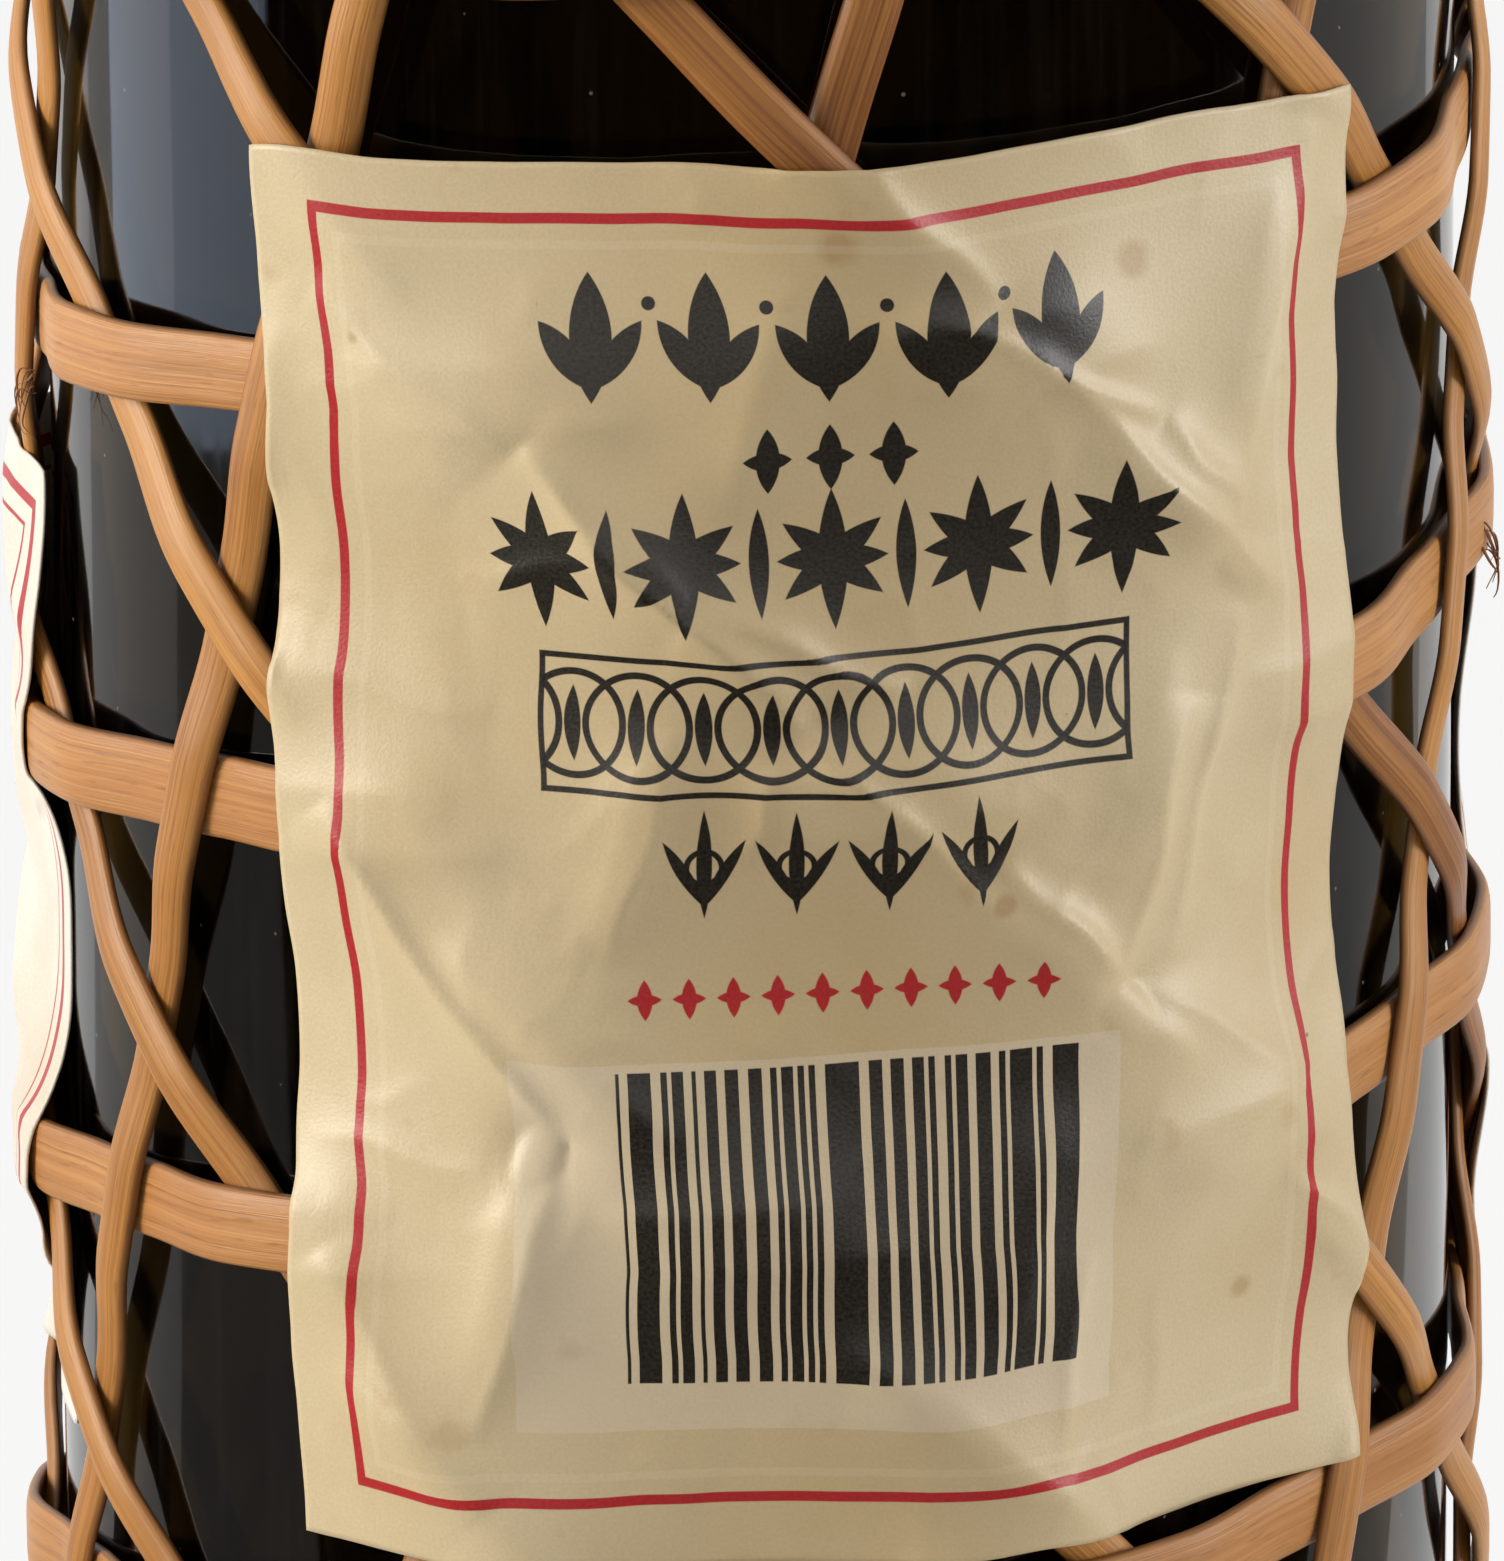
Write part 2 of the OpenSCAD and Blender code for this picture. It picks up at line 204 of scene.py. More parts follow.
def glass_skin(s, h):
    """Radius and height at the length s up the side of the glass, lifted h off it."""
    size = bpy.context.scene.bottle_sizes
    body = GLASS_HIGH.x
    bend = shoulder_turn(body, size.neck_r, size.shoulder_bend + size.neck_bend)
    bend_s = collar_start()
    neck_s = bend_s + size.neck_bend * bend
    neck_z = size.shoulder_z + (size.shoulder_bend + size.neck_bend) * math.sin(bend)
    s, h = np.broadcast_arrays(np.asarray(s, float), np.asarray(h, float))
    out = (s - size.shoulder_z) / size.shoulder_bend
    back = bend - (s - bend_s) / size.neck_bend
    zones = [s <= size.shoulder_z, s <= bend_s, s <= neck_s]
    radius = np.select(zones, [
        body + h,
        body - size.shoulder_bend + (size.shoulder_bend + h) * np.cos(out),
        size.neck_r + size.neck_bend - (size.neck_bend - h) * np.cos(back)], size.neck_r + h)
    height = np.select(zones, [
        s,
        size.shoulder_z + (size.shoulder_bend + h) * np.sin(out),
        neck_z - (size.neck_bend - h) * np.sin(back)], neck_z + s - neck_s)
    return radius, height


def on_glass(s, degrees, h):
    """Points in space at the length s up the glass, at an angle to the right of the front."""
    radius, height = glass_skin(s, h)
    turn = np.radians(degrees)
    return np.stack([radius * np.sin(turn), -radius * np.cos(turn), height + 0 * turn], axis=-1)


def smooth_noise(x, seed):
    """A slow wave between -1 and 1 that never repeats within the bottle, the same on each run."""
    x = np.asarray(x, float)
    waves = [np.sin(x + 1.7 * seed), np.sin(1.93 * x + 4.1 * seed + 1), np.sin(0.61 * x + 2.3 * seed + 2)]
    return (waves[0] + waves[1] + waves[2]) / 3


def woven_sheet(name, along, around, place, wrap_around, wrap_along, values):
    """Makes a grid, moves its points by place(u, v) and welds the edges that meet."""
    bm = bmesh.new()
    bmesh.ops.create_grid(bm, x_segments=along, y_segments=around, size=0.5)
    bm.verts.ensure_lookup_table()
    grid = np.array([v.co[:] for v in bm.verts])
    u = np.round((grid[:, 0] + 0.5) * along) / along
    v = np.round((grid[:, 1] + 0.5) * around) / around
    points = place(u, v)
    for vert, point in zip(bm.verts, points):
        vert.co = point
    for key, numbers in values(u, v).items():
        layer = bm.verts.layers.float.new(key)
        for vert, number in zip(bm.verts, numbers):
            vert[layer] = number
    if wrap_around or wrap_along:
        bmesh.ops.remove_doubles(bm, verts=bm.verts, dist=1e-7)
    if wrap_around and not wrap_along:
        bmesh.ops.holes_fill(bm, edges=[e for e in bm.edges if e.is_boundary], sides=0)
    bmesh.ops.recalc_face_normals(bm, faces=bm.faces)
    return finish_mesh(name, bm)


def finish_mesh(name, bm, smooth=True):
    """Turns a bmesh into an object at the origin, smooth shaded."""
    mesh = bpy.data.meshes.new(name)
    for face in bm.faces:
        face.smooth = smooth
    bm.to_mesh(mesh)
    bm.free()
    made = bpy.data.objects.new(name, mesh)
    bpy.context.scene.collection.objects.link(made)
    return made


def dress(piece, material, slot, body, *nodes):
    """Gives a piece its material and ties it to the frame."""
    piece.data.materials.append(material)
    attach(piece, body)
    if nodes:
        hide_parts(*nodes)


def put(tree, kind, inputs=None, **settings):
    """Adds a node with its settings, and with values or other nodes on its inputs."""
    made = tree.nodes.new(kind)
    for key, value in settings.items():
        setattr(made, key, value)
    for key, value in (inputs or {}).items():
        if isinstance(value, bpy.types.Node):
            value = value.outputs[0]
        if isinstance(value, bpy.types.NodeSocket):
            tree.links.new(value, made.inputs[key])
        else:
            made.inputs[key].default_value = value
    return made


def blank_material(name):
    """An empty node material with its output; the caller links a shader to it."""
    material = bpy.data.materials.new(name)
    material.use_nodes = True
    material.node_tree.nodes.clear()
    return material, material.node_tree


# The weave


def left_degrees(i, s):
    """Angle of left strand i at the length s up the glass."""
    weave = bpy.context.scene.weave_sizes
    return weave.left_start + 360 * i / weave.left_count - 360 * (s - weave.line_up_z) / weave.left_turn


def right_degrees(i, s):
    """Angle of right strand i."""
    weave = bpy.context.scene.weave_sizes
    count = weave.left_count + 1
    return weave.right_start + 360 * i / count + 360 * (s - weave.line_up_z) / weave.right_turn


def band_pitch():
    """Height of one turn of the flat band, which lies half way between the crossings."""
    weave = bpy.context.scene.weave_sizes
    return 1 / (weave.left_count / weave.left_turn + (weave.left_count + 1) / weave.right_turn)


def band_degrees(s):
    """Unwound angle of the flat band."""
    weave = bpy.context.scene.weave_sizes
    start = (weave.left_count + 1) * weave.right_start - weave.left_count * weave.left_start - 180
    return start + 360 * (s - weave.band_rise - weave.line_up_z) / band_pitch()


def left_phase(degrees, s):
    """Whole on each left strand, at any point of the cover."""
    weave = bpy.context.scene.weave_sizes
    return weave.left_count * (degrees - left_degrees(0, s)) / 360


def right_phase(degrees, s):
    """Whole on each right strand."""
    weave = bpy.context.scene.weave_sizes
    return (weave.left_count + 1) * (degrees - right_degrees(0, s)) / 360


# Share of the way between two crossings that a strand runs level at each end
LEVEL_SHARE = 0.10
# How far the strands run on under the foot rows and the collar
TUCK = 2.4 * MM
STRAND_STEP = 0.9 * MM
STRAND_SIDES = 18
# Nothing in the cover comes nearer to the glass
LEAST_LIFT = 0.03 * MM


def over_share(phase):
    """1 where a strand lies over its partner, 0 where it lies under the next, with eased ramps."""
    d = np.abs(phase - np.round(phase))
    x = np.clip((0.5 - LEVEL_SHARE - d) / (0.5 - 2 * LEVEL_SHARE), 0, 1)
    return x * x * (3 - 2 * x)


def lifts(family):
    """Lowest and highest height of a family's underside over the glass."""
    weave = bpy.context.scene.weave_sizes
    low = weave.seat_gap if family == "band" else weave.bridge
    below = {"left": weave.bridge + weave.strand_t, "right": weave.seat_gap + weave.band_t,
             "band": weave.bridge + weave.strand_t}[family]
    return low, below + weave.cross_gap


def family_lift(family, degrees, s):
    """Height of a family's underside where its strand lies at these angles."""
    if family == "left":
        share = over_share(right_phase(degrees, s))
    elif family == "right":
        share = 1 - over_share(left_phase(degrees, s))
    else:
        share = over_share(left_phase(degrees, s))
    low, high = lifts(family)
    return low + (high - low) * share


def weave_reach():
    """Lengths up the glass at which the woven cover starts and ends."""
    return BAND_LOW.z - TUCK, collar_start() + TUCK


# How pale or dark each strand is, from -1 to 1, in order from the front to the right
LEFT_TONES = (0.25, -0.8, 0.0, 0.2, -0.3, 0.1, 0.0, 0.4)
RIGHT_TONES = (-0.35, 0.1, -0.2, 0.3, 0.0, -0.1, 0.2, 0.0, -0.8)


def strand(name, degrees, family, lead, width, thick, low, high, seed, flat, tone=0.0):
    """One strand, swept along its path with the slight unevenness of split cane."""
    length = (high - low) * math.hypot(1, FULL_TURN * GLASS_HIGH.x / lead)
    along = int(length / STRAND_STEP)

    def place(u, v):
        s = low + (high - low) * u
        angle = degrees(s)
        radius = glass_skin(s, 0)[0]
        lean = np.arctan(FULL_TURN * radius / lead)
        run = u * length / MM
        end = np.clip(np.minimum(u, 1 - u) * length / (0.5 * MM), 0.35, 1)
        w = width * (1 + 0.09 * smooth_noise(run / 17, seed)) * end
        t = thick * (1 + 0.06 * smooth_noise(run / 11, seed + 3)) * (0.6 + 0.4 * end)
        roll = math.radians(2 if flat else 5) * smooth_noise(run / 13, seed + 7)
        turn = FULL_TURN * v
        across = np.sign(np.cos(turn)) * np.abs(np.cos(turn)) ** (0.55 if flat else 0.95)
        top = np.abs(np.sin(turn)) ** (0.45 if flat else 0.9)
        up = np.where(np.sin(turn) > 0, 0.2 + 0.8 * top, 0.2 * (1 - top))
        x = across * w / 2
        y = up * t + x * np.sin(roll)
        lift = family_lift(family, angle, s)
        angle = angle + np.degrees(x * np.cos(lean) / radius)
        return on_glass(s - x * np.sin(lean), angle, np.maximum(lift + y, LEAST_LIFT))

    def values(u, v):
        turn = FULL_TURN * v
        return {
            "along": u * length,
            "across": np.cos(turn) * width / 2,
            "crown": np.maximum(np.sin(turn), 0),
            "seed": np.full_like(u, seed * 0.37),
            "tone": np.full_like(u, tone),
        }

    return woven_sheet(name, along, STRAND_SIDES, place, True, False, values)


def cane_material(name, tones, grain_mm, browner_low_down):
    """Split cane, shaved flat: long fibres, edges darkened with painted shade, a dull natural skin."""
    light, mid, dark = tones.split()
    round_dark_tone = bpy.context.scene.bottle_colours.round_cane.split()[2]
    material, tree = blank_material(name)
    along = put(tree, "ShaderNodeAttribute", attribute_name="along")
    across = put(tree, "ShaderNodeAttribute", attribute_name="across")
    seed = put(tree, "ShaderNodeAttribute", attribute_name="seed")
    crown = put(tree, "ShaderNodeAttribute", attribute_name="crown")
    grain = put(tree, "ShaderNodeCombineXYZ", {0: along.outputs["Fac"], 1: across.outputs["Fac"]})
    place = put(tree, "ShaderNodeCombineXYZ", {0: seed.outputs["Fac"], 2: seed.outputs["Fac"]})
    # Fibres run the length of the strand and are a fraction of a millimetre wide
    fibre_place = put(tree, "ShaderNodeVectorMath", {
        0: grain, 1: (1 / (45 * MM), 1 / (grain_mm * MM), 0.0), 2: place}, operation="MULTIPLY_ADD")
    fibre = put(tree, "ShaderNodeTexNoise", {
        "Vector": fibre_place, "Scale": 1.0, "Detail": 5.0, "Roughness": 0.62})
    # Vessels show as short dark dashes along the grain
    dash_place = put(tree, "ShaderNodeVectorMath", {
        0: grain, 1: (1 / (2.6 * MM), 1 / (0.16 * MM), 0.0), 2: place}, operation="MULTIPLY_ADD")
    dash = put(tree, "ShaderNodeTexNoise", {"Vector": dash_place, "Scale": 1.0, "Detail": 2.0})
    # Broad patches come from the plant and from handling
    patch_place = put(tree, "ShaderNodeVectorMath", {
        0: grain, 1: (1 / (17 * MM), 1 / (6 * MM), 0.0), 2: place}, operation="MULTIPLY_ADD")
    patch = put(tree, "ShaderNodeTexNoise", {"Vector": patch_place, "Scale": 1.0, "Detail": 3.0})
    mottle = put(tree, "ShaderNodeMix", {"Factor": 0.35, "A": fibre, "B": patch}, data_type="FLOAT")
    # Each strand was cut from another stem, so some are paler and some browner
    stem = put(tree, "ShaderNodeAttribute", attribute_name="tone")
    tone = put(tree, "ShaderNodeMath", {
        0: stem.outputs["Fac"], 1: 0.17, 2: mottle.outputs[0]}, operation="MULTIPLY_ADD")
    ramp = put(tree, "ShaderNodeValToRGB", {"Fac": tone})
    ramp.color_ramp.elements[0].position = 0.28
    ramp.color_ramp.elements[0].color = linear(dark)
    ramp.color_ramp.elements[1].position = 0.70
    ramp.color_ramp.elements[1].color = linear(light)
    middle = ramp.color_ramp.elements.new(0.49)
    middle.color = linear(mid)
    dashes = put(tree, "ShaderNodeMapRange", {
        "Value": dash, "From Min": 0.60, "From Max": 0.72, "To Min": 0.0, "To Max": 0.45})
    # Painted shade with some dirt: the edges and the underside, where the strand turns from the light and
    # meets the glass, are darkened toward a deep brown
    edge = put(tree, "ShaderNodeMapRange", {
        "Value": crown.outputs["Fac"], "From Min": 0.0, "From Max": 0.5, "To Min": 0.85, "To Max": 0.0})
    # Lower on the bottle the cane is browner
    where = put(tree, "ShaderNodeTexCoord")
    height = put(tree, "ShaderNodeSeparateXYZ", {0: where.outputs["Object"]})
    low_part = put(tree, "ShaderNodeMapRange", {
        "Value": height.outputs[2], "From Min": 0.12, "From Max": 0.02, "To Min": 0.0, "To Max": browner_low_down})
    skin = ramp.outputs["Color"]
    # Mixes in the grain's dark dashes, the painted shade at the edges and underside, and the browner lower
    # part
    for share, shade in ((dashes, round_dark_tone), (edge, "#54300F"), (low_part, round_dark_tone)):
        mixed = put(tree, "ShaderNodeMix", {"Factor": share, "A": skin, "B": linear(shade)}, data_type="RGBA")
        skin = mixed.outputs[2]
    relief = put(tree, "ShaderNodeMix", {"Factor": 0.3, "A": fibre, "B": dash}, data_type="FLOAT")
    bump = put(tree, "ShaderNodeBump", {"Height": relief.outputs[0], "Strength": 0.6, "Distance": 0.13 * MM})
    rough = put(tree, "ShaderNodeMapRange", {"Value": fibre, "To Min": 0.30, "To Max": 0.52})
    shader = put(tree, "ShaderNodeBsdfPrincipled", {
        "Base Color": skin, "Roughness": rough, "Normal": bump, "IOR": 1.5, "Specular IOR Level": 0.45})
    put(tree, "ShaderNodeOutputMaterial", {"Surface": shader})
    return material


class BOTTLE_OT_strands(bpy.types.Operator):
    """Weave the round strands that rise to the left and to the right."""

    bl_idname = "bottle.strands"
    bl_label = "Round strands"

    def execute(self, context):
        weave, colours = context.scene.weave_sizes, context.scene.bottle_colours
        material = cane_material("Split cane, half-round", colours.round_cane, 0.22, 0.22)
        low, high = weave_reach()
        for i in range(weave.left_count):
            piece = strand(
                f"left_cane_{i + 1}", lambda s, i=i: left_degrees(i, s), "left", -weave.left_turn,
                weave.strand_w, weave.strand_t, low, high, i + 1, False, LEFT_TONES[i % len(LEFT_TONES)])
            dress(piece, material, "round_cane", "bottle", f"left_strand_{i + 1}")
        for i in range(weave.left_count + 1):
            piece = strand(
                f"right_cane_{i + 1}", lambda s, i=i: right_degrees(i, s), "right", weave.right_turn,
                weave.strand_w, weave.strand_t, low, high, i + 21, False, RIGHT_TONES[i % len(RIGHT_TONES)])
            dress(piece, material, "round_cane", "bottle", f"right_strand_{i + 1}")
        return {"FINISHED"}


# How much sooner than the strands the band ends
BAND_END = 2.2 * MM


class BOTTLE_OT_band(bpy.types.Operator):
    """Wind the flat band as one unbroken spiral."""

    bl_idname = "bottle.band"
    bl_label = "Flat band"

    def execute(self, context):
        weave = context.scene.weave_sizes
        material = cane_material("Flat cane band", context.scene.bottle_colours.flat_cane, 0.20, 0.2)
        low, high = weave_reach()
        edge = (weave.band_w - weave.strand_w) / 2
        piece = strand(
            "flat_cane_band", band_degrees, "band", band_pitch(), weave.band_w, weave.band_t,
            low + edge + BAND_END, high - edge - BAND_END, 41, True)
        dress(piece, material, "flat_cane", "bottle", "spiral_band")
        return {"FINISHED"}


FRAY_FIBRES = 7
# Where a cut end frays: degrees, height and how far it stands off the glass, in millimetres
FRAYS = ((-74.0, 104.0, 2.1), (84.0, 92.0, 1.9), (150.0, 117.0, 2.0), (-28.0, 24.0, 1.8))


class BOTTLE_OT_frays(bpy.types.Operator):
    """Leave a few fibres standing where the ends of the cane were trimmed."""

    bl_idname = "bottle.frays"
    bl_label = "Frayed fibres"

    def execute(self, context):
        material = cane_material("Cane fibre, torn", context.scene.bottle_colours.torn_cane, 0.2, 0.0)
        draw = np.random.RandomState(5)
        fibres = []
        for index, (degrees, s, off) in enumerate(FRAYS):
            for strand_index in range(FRAY_FIBRES):
                start = draw.uniform(-0.8, 0.8, 2)
                bend, fall = draw.uniform(-3.0, 3.0), draw.uniform(1.0, 3.2)
                girth = draw.uniform(0.06, 0.13)

                def place(
                        u, v, start=start, bend=bend, fall=fall, girth=girth, degrees=degrees, s=s, off=off):
                    turn = FULL_TURN * v
                    thin = girth * (1 - 0.7 * u)
                    side = start[0] + bend * u * u + thin * np.cos(turn)
                    height = s + start[1] - fall * u + 0.5 * np.sin(5 * u + bend)
                    lift = off + 0.9 * np.sin(2.4 * u) + thin * np.sin(turn)
                    return on_glass(height * MM, degrees + np.degrees(side * MM / GLASS_HIGH.x), lift * MM)

                def values(u, v, fall=fall, strand_index=strand_index):
                    return {"along": u * fall * MM, "across": v * 0.2 * MM, "crown": np.ones_like(u),
                            "seed": np.full_like(u, 0.3 * strand_index)}

                fibres.append(woven_sheet(f"fibre_{index}_{strand_index}", 10, 6, place, True, False, values))
        dress(join("frayed_fibres", fibres), material, "round_cane", "bottle")
        return {"FINISHED"}


# Twined rows, rim and mat


ROD_STEP = 0.7 * MM
ROD_SIDES = 12
# Length of one twist of the rows, the rim, the collar's edge and the mat's rings
ROW_TWIST, RIM_TWIST, EDGE_TWIST, MAT_TWIST = 7.5 * MM, 22 * MM, 13 * MM, 8 * MM
# The rim's twist reaches this far below the flat on which the bottle stands, and is cut there
RIM_FLAT = 0.5 * MM
SPOKES, SPOKE_WIDTH, SPOKE_STEPS, SPOKE_SIDES = 4, 4 * MM, 90, 16
MAT_RINGS = 5


def twined_ring(name, radius, height, reach, plies, turns, seed, floor_z):
    """A ring of rods twisted round each other, cut flat where it stands."""
    objects = []
    ply_r = reach / (1 + 1 / math.sin(math.pi / plies)) if plies > 1 else reach
    lay_r = reach - ply_r
    along = int(FULL_TURN * radius / ROD_STEP)
    for ply in range(plies):

        def place(u, v, ply=ply):
            turn = FULL_TURN * u
            lay = turns * turn + FULL_TURN * ply / plies
            girth = ply_r * (1 + 0.07 * np.sin(9 * turn + seed + ply))
            r = radius + lay_r * np.cos(lay) + girth * np.cos(FULL_TURN * v)
            z = height + lay_r * np.sin(lay) + girth * np.sin(FULL_TURN * v)
            return np.stack([r * np.sin(turn), -r * np.cos(turn), np.maximum(z, floor_z)], axis=-1)

        def values(u, v, ply=ply):
            return {
                "along": FULL_TURN * radius * u,
                "across": ply_r * 2 * np.abs(v - 0.5) * 2,
                "crown": np.full_like(u, 0.8),
                "seed": np.full_like(u, 0.61 * (seed + ply)),
            }

        objects.append(woven_sheet(f"{name}_{ply + 1}", along, ROD_SIDES, place, True, True, values))
    return objects


def join(name, objects):
    """Joins pieces of one node into one object."""
    bm = bmesh.new()
    for item in objects:
        bm.from_mesh(item.data)
        bpy.data.objects.remove(item)
    return finish_mesh(name, bm)


class BOTTLE_OT_rows(bpy.types.Operator):
    """Twine the rim and the rows of the foot, and the rows and edge of the collar."""

    bl_idname = "bottle.rows"
    bl_label = "Foot and collar"

    def execute(self, context):
        material = cane_material("Twined cane rod", context.scene.bottle_colours.twined_cane, 0.4, 0.1)
        nodes = [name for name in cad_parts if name.startswith(("foot_row", "collar_row"))]
        for index, node in enumerate(sorted(nodes)):
            low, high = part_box(node)
            reach = (high.z - low.z) / 2
            radius = high.x - reach
            turns = round(FULL_TURN * radius / ROW_TWIST)
            ring = twined_ring(node, radius, low.z + reach, reach, 2, turns, index, 0)
            dress(join(f"{node}_twine", ring), material, "dark_cane", "bottle", node)
        for node, plies, twist, flat in (
                ("foot_rim", 4, RIM_TWIST, RIM_FLAT), ("collar_edge", 3, EDGE_TWIST, 0)):
            low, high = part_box(node)
            reach = (high.z - low.z + flat) / 2
            radius = high.x - reach
            turns = round(FULL_TURN * radius / twist)
            ring = twined_ring(node, radius, high.z - reach, reach, plies, turns, 31, low.z)
            dress(join(f"{node}_twist", ring), material, "dark_cane", "bottle", node)
        return {"FINISHED"}


class BOTTLE_OT_mat(bpy.types.Operator):
    """Weave the mat under the glass: crossed spokes and the rings on them."""

    bl_idname = "bottle.mat"
    bl_label = "Mat"

    def execute(self, context):
        material = cane_material("Mat cane", context.scene.bottle_colours.mat_cane, 0.4, 0.0)
        low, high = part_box("base_spokes")
        thick = (high.z - low.z) / SPOKES
        spokes = []
        for i in range(SPOKES):
            turn = math.pi * i / SPOKES

            def place(u, v, i=i, turn=turn):
                x = (2 * u - 1) * high.x
                section = FULL_TURN * v
                y = np.sign(np.cos(section)) * np.abs(np.cos(section)) ** 0.4 * SPOKE_WIDTH / 2
                z = low.z + thick * (i + 0.5 + 0.48 * np.sin(section))
                cos, sin = math.cos(turn), math.sin(turn)
                return np.stack([x * cos - y * sin, x * sin + y * cos, z], axis=-1)

            def values(u, v, i=i):
                return {
                    "along": u * 2 * high.x,
                    "across": np.cos(FULL_TURN * v) * SPOKE_WIDTH / 2,
                    "crown": np.full_like(u, 0.8),
                    "seed": np.full_like(u, 0.7 * i),
                }

            spokes.append(woven_sheet(f"spoke_{i}", SPOKE_STEPS, SPOKE_SIDES, place, True, False, values))
        dress(join("mat_spokes", spokes), material, "dark_cane", "bottle", "base_spokes")
        low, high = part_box("base_rings")
        reach = (high.z - low.z) / 2
        rings = []
        for i in range(MAT_RINGS):
            radius = (i + 1) * (high.x / MAT_RINGS) - reach
            turns = round(FULL_TURN * radius / MAT_TWIST)
            rings += twined_ring(f"mat_ring_{i}", radius, low.z + reach, reach, 2, turns, 50 + i, 0)
        dress(join("mat_rings", rings), material, "round_cane", "bottle", "base_rings")
        return {"FINISHED"}


# Glass and cork


def arc(centre_r, centre_z, radius, start, end, steps=12):
    """Points of an arc in the side view, from start to end in radians."""
    return [
        (centre_r + radius * math.cos(start + (end - start) * i / steps),
         centre_z + radius * math.sin(start + (end - start) * i / steps)) for i in range(steps + 1)]


def turned(name, outline, steps):
    """Spins an outline of (radius, height) points about the upright axis into a closed body."""
    bm = bmesh.new()
    verts = [bm.verts.new((r, 0, z)) for r, z in outline]
    edges = [bm.edges.new(pair) for pair in zip(verts, verts[1:])]
    bmesh.ops.spin(
        bm, geom=verts + edges, cent=(0, 0, 0), axis=(0, 0, 1), dvec=(0, 0, 0), angle=FULL_TURN, steps=steps,
        use_merge=True, use_normal_flip=False, use_duplicate=False)
    bmesh.ops.remove_doubles(bm, verts=bm.verts, dist=1e-6)
    bmesh.ops.recalc_face_normals(bm, faces=bm.faces)
    return finish_mesh(name, bm)


LIP_SOFTNESS = 0.6 * MM
GLASS_SIDES = 192
CORK_SIDES = 96
CORK_CHAMFER = 0.8 * MM


def glass_outline():
    """Side view of the glass, up the outside, over the lip and down the inside to the push-up."""
    size = bpy.context.scene.bottle_sizes
    body, foot, top = GLASS_HIGH.x, GLASS_LOW.z, GLASS_HIGH.z
    ball = (size.punt_r ** 2 + size.punt_h ** 2) / (2 * size.punt_h)
    ball_z = foot + size.punt_h - ball
    rim = math.asin(size.punt_r / ball)
    bend = shoulder_turn(body, size.neck_r, size.shoulder_bend + size.neck_bend)
    neck_z = size.shoulder_z + (size.shoulder_bend + size.neck_bend) * math.sin(bend)
    half = QUARTER_TURN
    points = arc(0, ball_z, ball, half, half - rim)
    points += arc(body - size.heel, foot + size.heel, size.heel, -half, 0)
    points += [(body, foot + size.heel + (size.shoulder_z - foot - size.heel) * i / 24) for i in range(1, 24)]
    points += arc(body - size.shoulder_bend, size.shoulder_z, size.shoulder_bend, 0, bend, 20)
    points += arc(size.neck_r + size.neck_bend, neck_z, size.neck_bend, math.pi + bend, math.pi, 20)[1:]
    # The lip: a small step out under the ring, with every edge fire-polished round
    lip_r, ring_low = size.neck_r + size.lip_out, top - size.lip_h
    soft = LIP_SOFTNESS
    points += [(size.neck_r, ring_low - 2 * soft)]
    points += arc(lip_r - soft, ring_low, soft, -half, 0, 6)
    points += arc(lip_r - 2 * soft, top - 3 * soft, 2 * soft, 0, half * 0.7, 6)
    points += arc(size.neck_r - soft, top - soft, soft, half * 0.7, half, 4)
    points += arc(size.bore_r + soft, top - soft, soft, half, math.pi, 6)
    bore_z = top - size.bore_len
    inner = body - size.wall
    bend_in, neck_in = size.shoulder_bend - size.wall, size.neck_bend + size.neck_r - size.neck_bore_r
    bend = shoulder_turn(inner, size.neck_bore_r, bend_in + neck_in)
    neck_z = size.shoulder_z + (bend_in + neck_in) * math.sin(bend)
    points += [(size.bore_r, bore_z), (size.neck_bore_r, bore_z - size.wall)]
    points += arc(size.neck_bore_r + neck_in, neck_z, neck_in, math.pi, math.pi + bend, 16)
    points += arc(inner - bend_in, size.shoulder_z, bend_in, bend, 0, 16)[1:]
    groove = size.heel - size.wall / 2
    groove_r, groove_z = inner - groove, foot + size.floor + groove
    drop = foot + size.punt_h + size.floor - groove_z
    dome = (groove_r ** 2 + drop ** 2 - groove ** 2) / (2 * (groove + drop))
    lean = math.asin(groove_r / (dome + groove))
    points += arc(groove_r, groove_z, groove, 0, -half - lean, 10)
    points += arc(0, foot + size.punt_h + size.floor - dome, dome, half - lean, half)[1:]
    return points


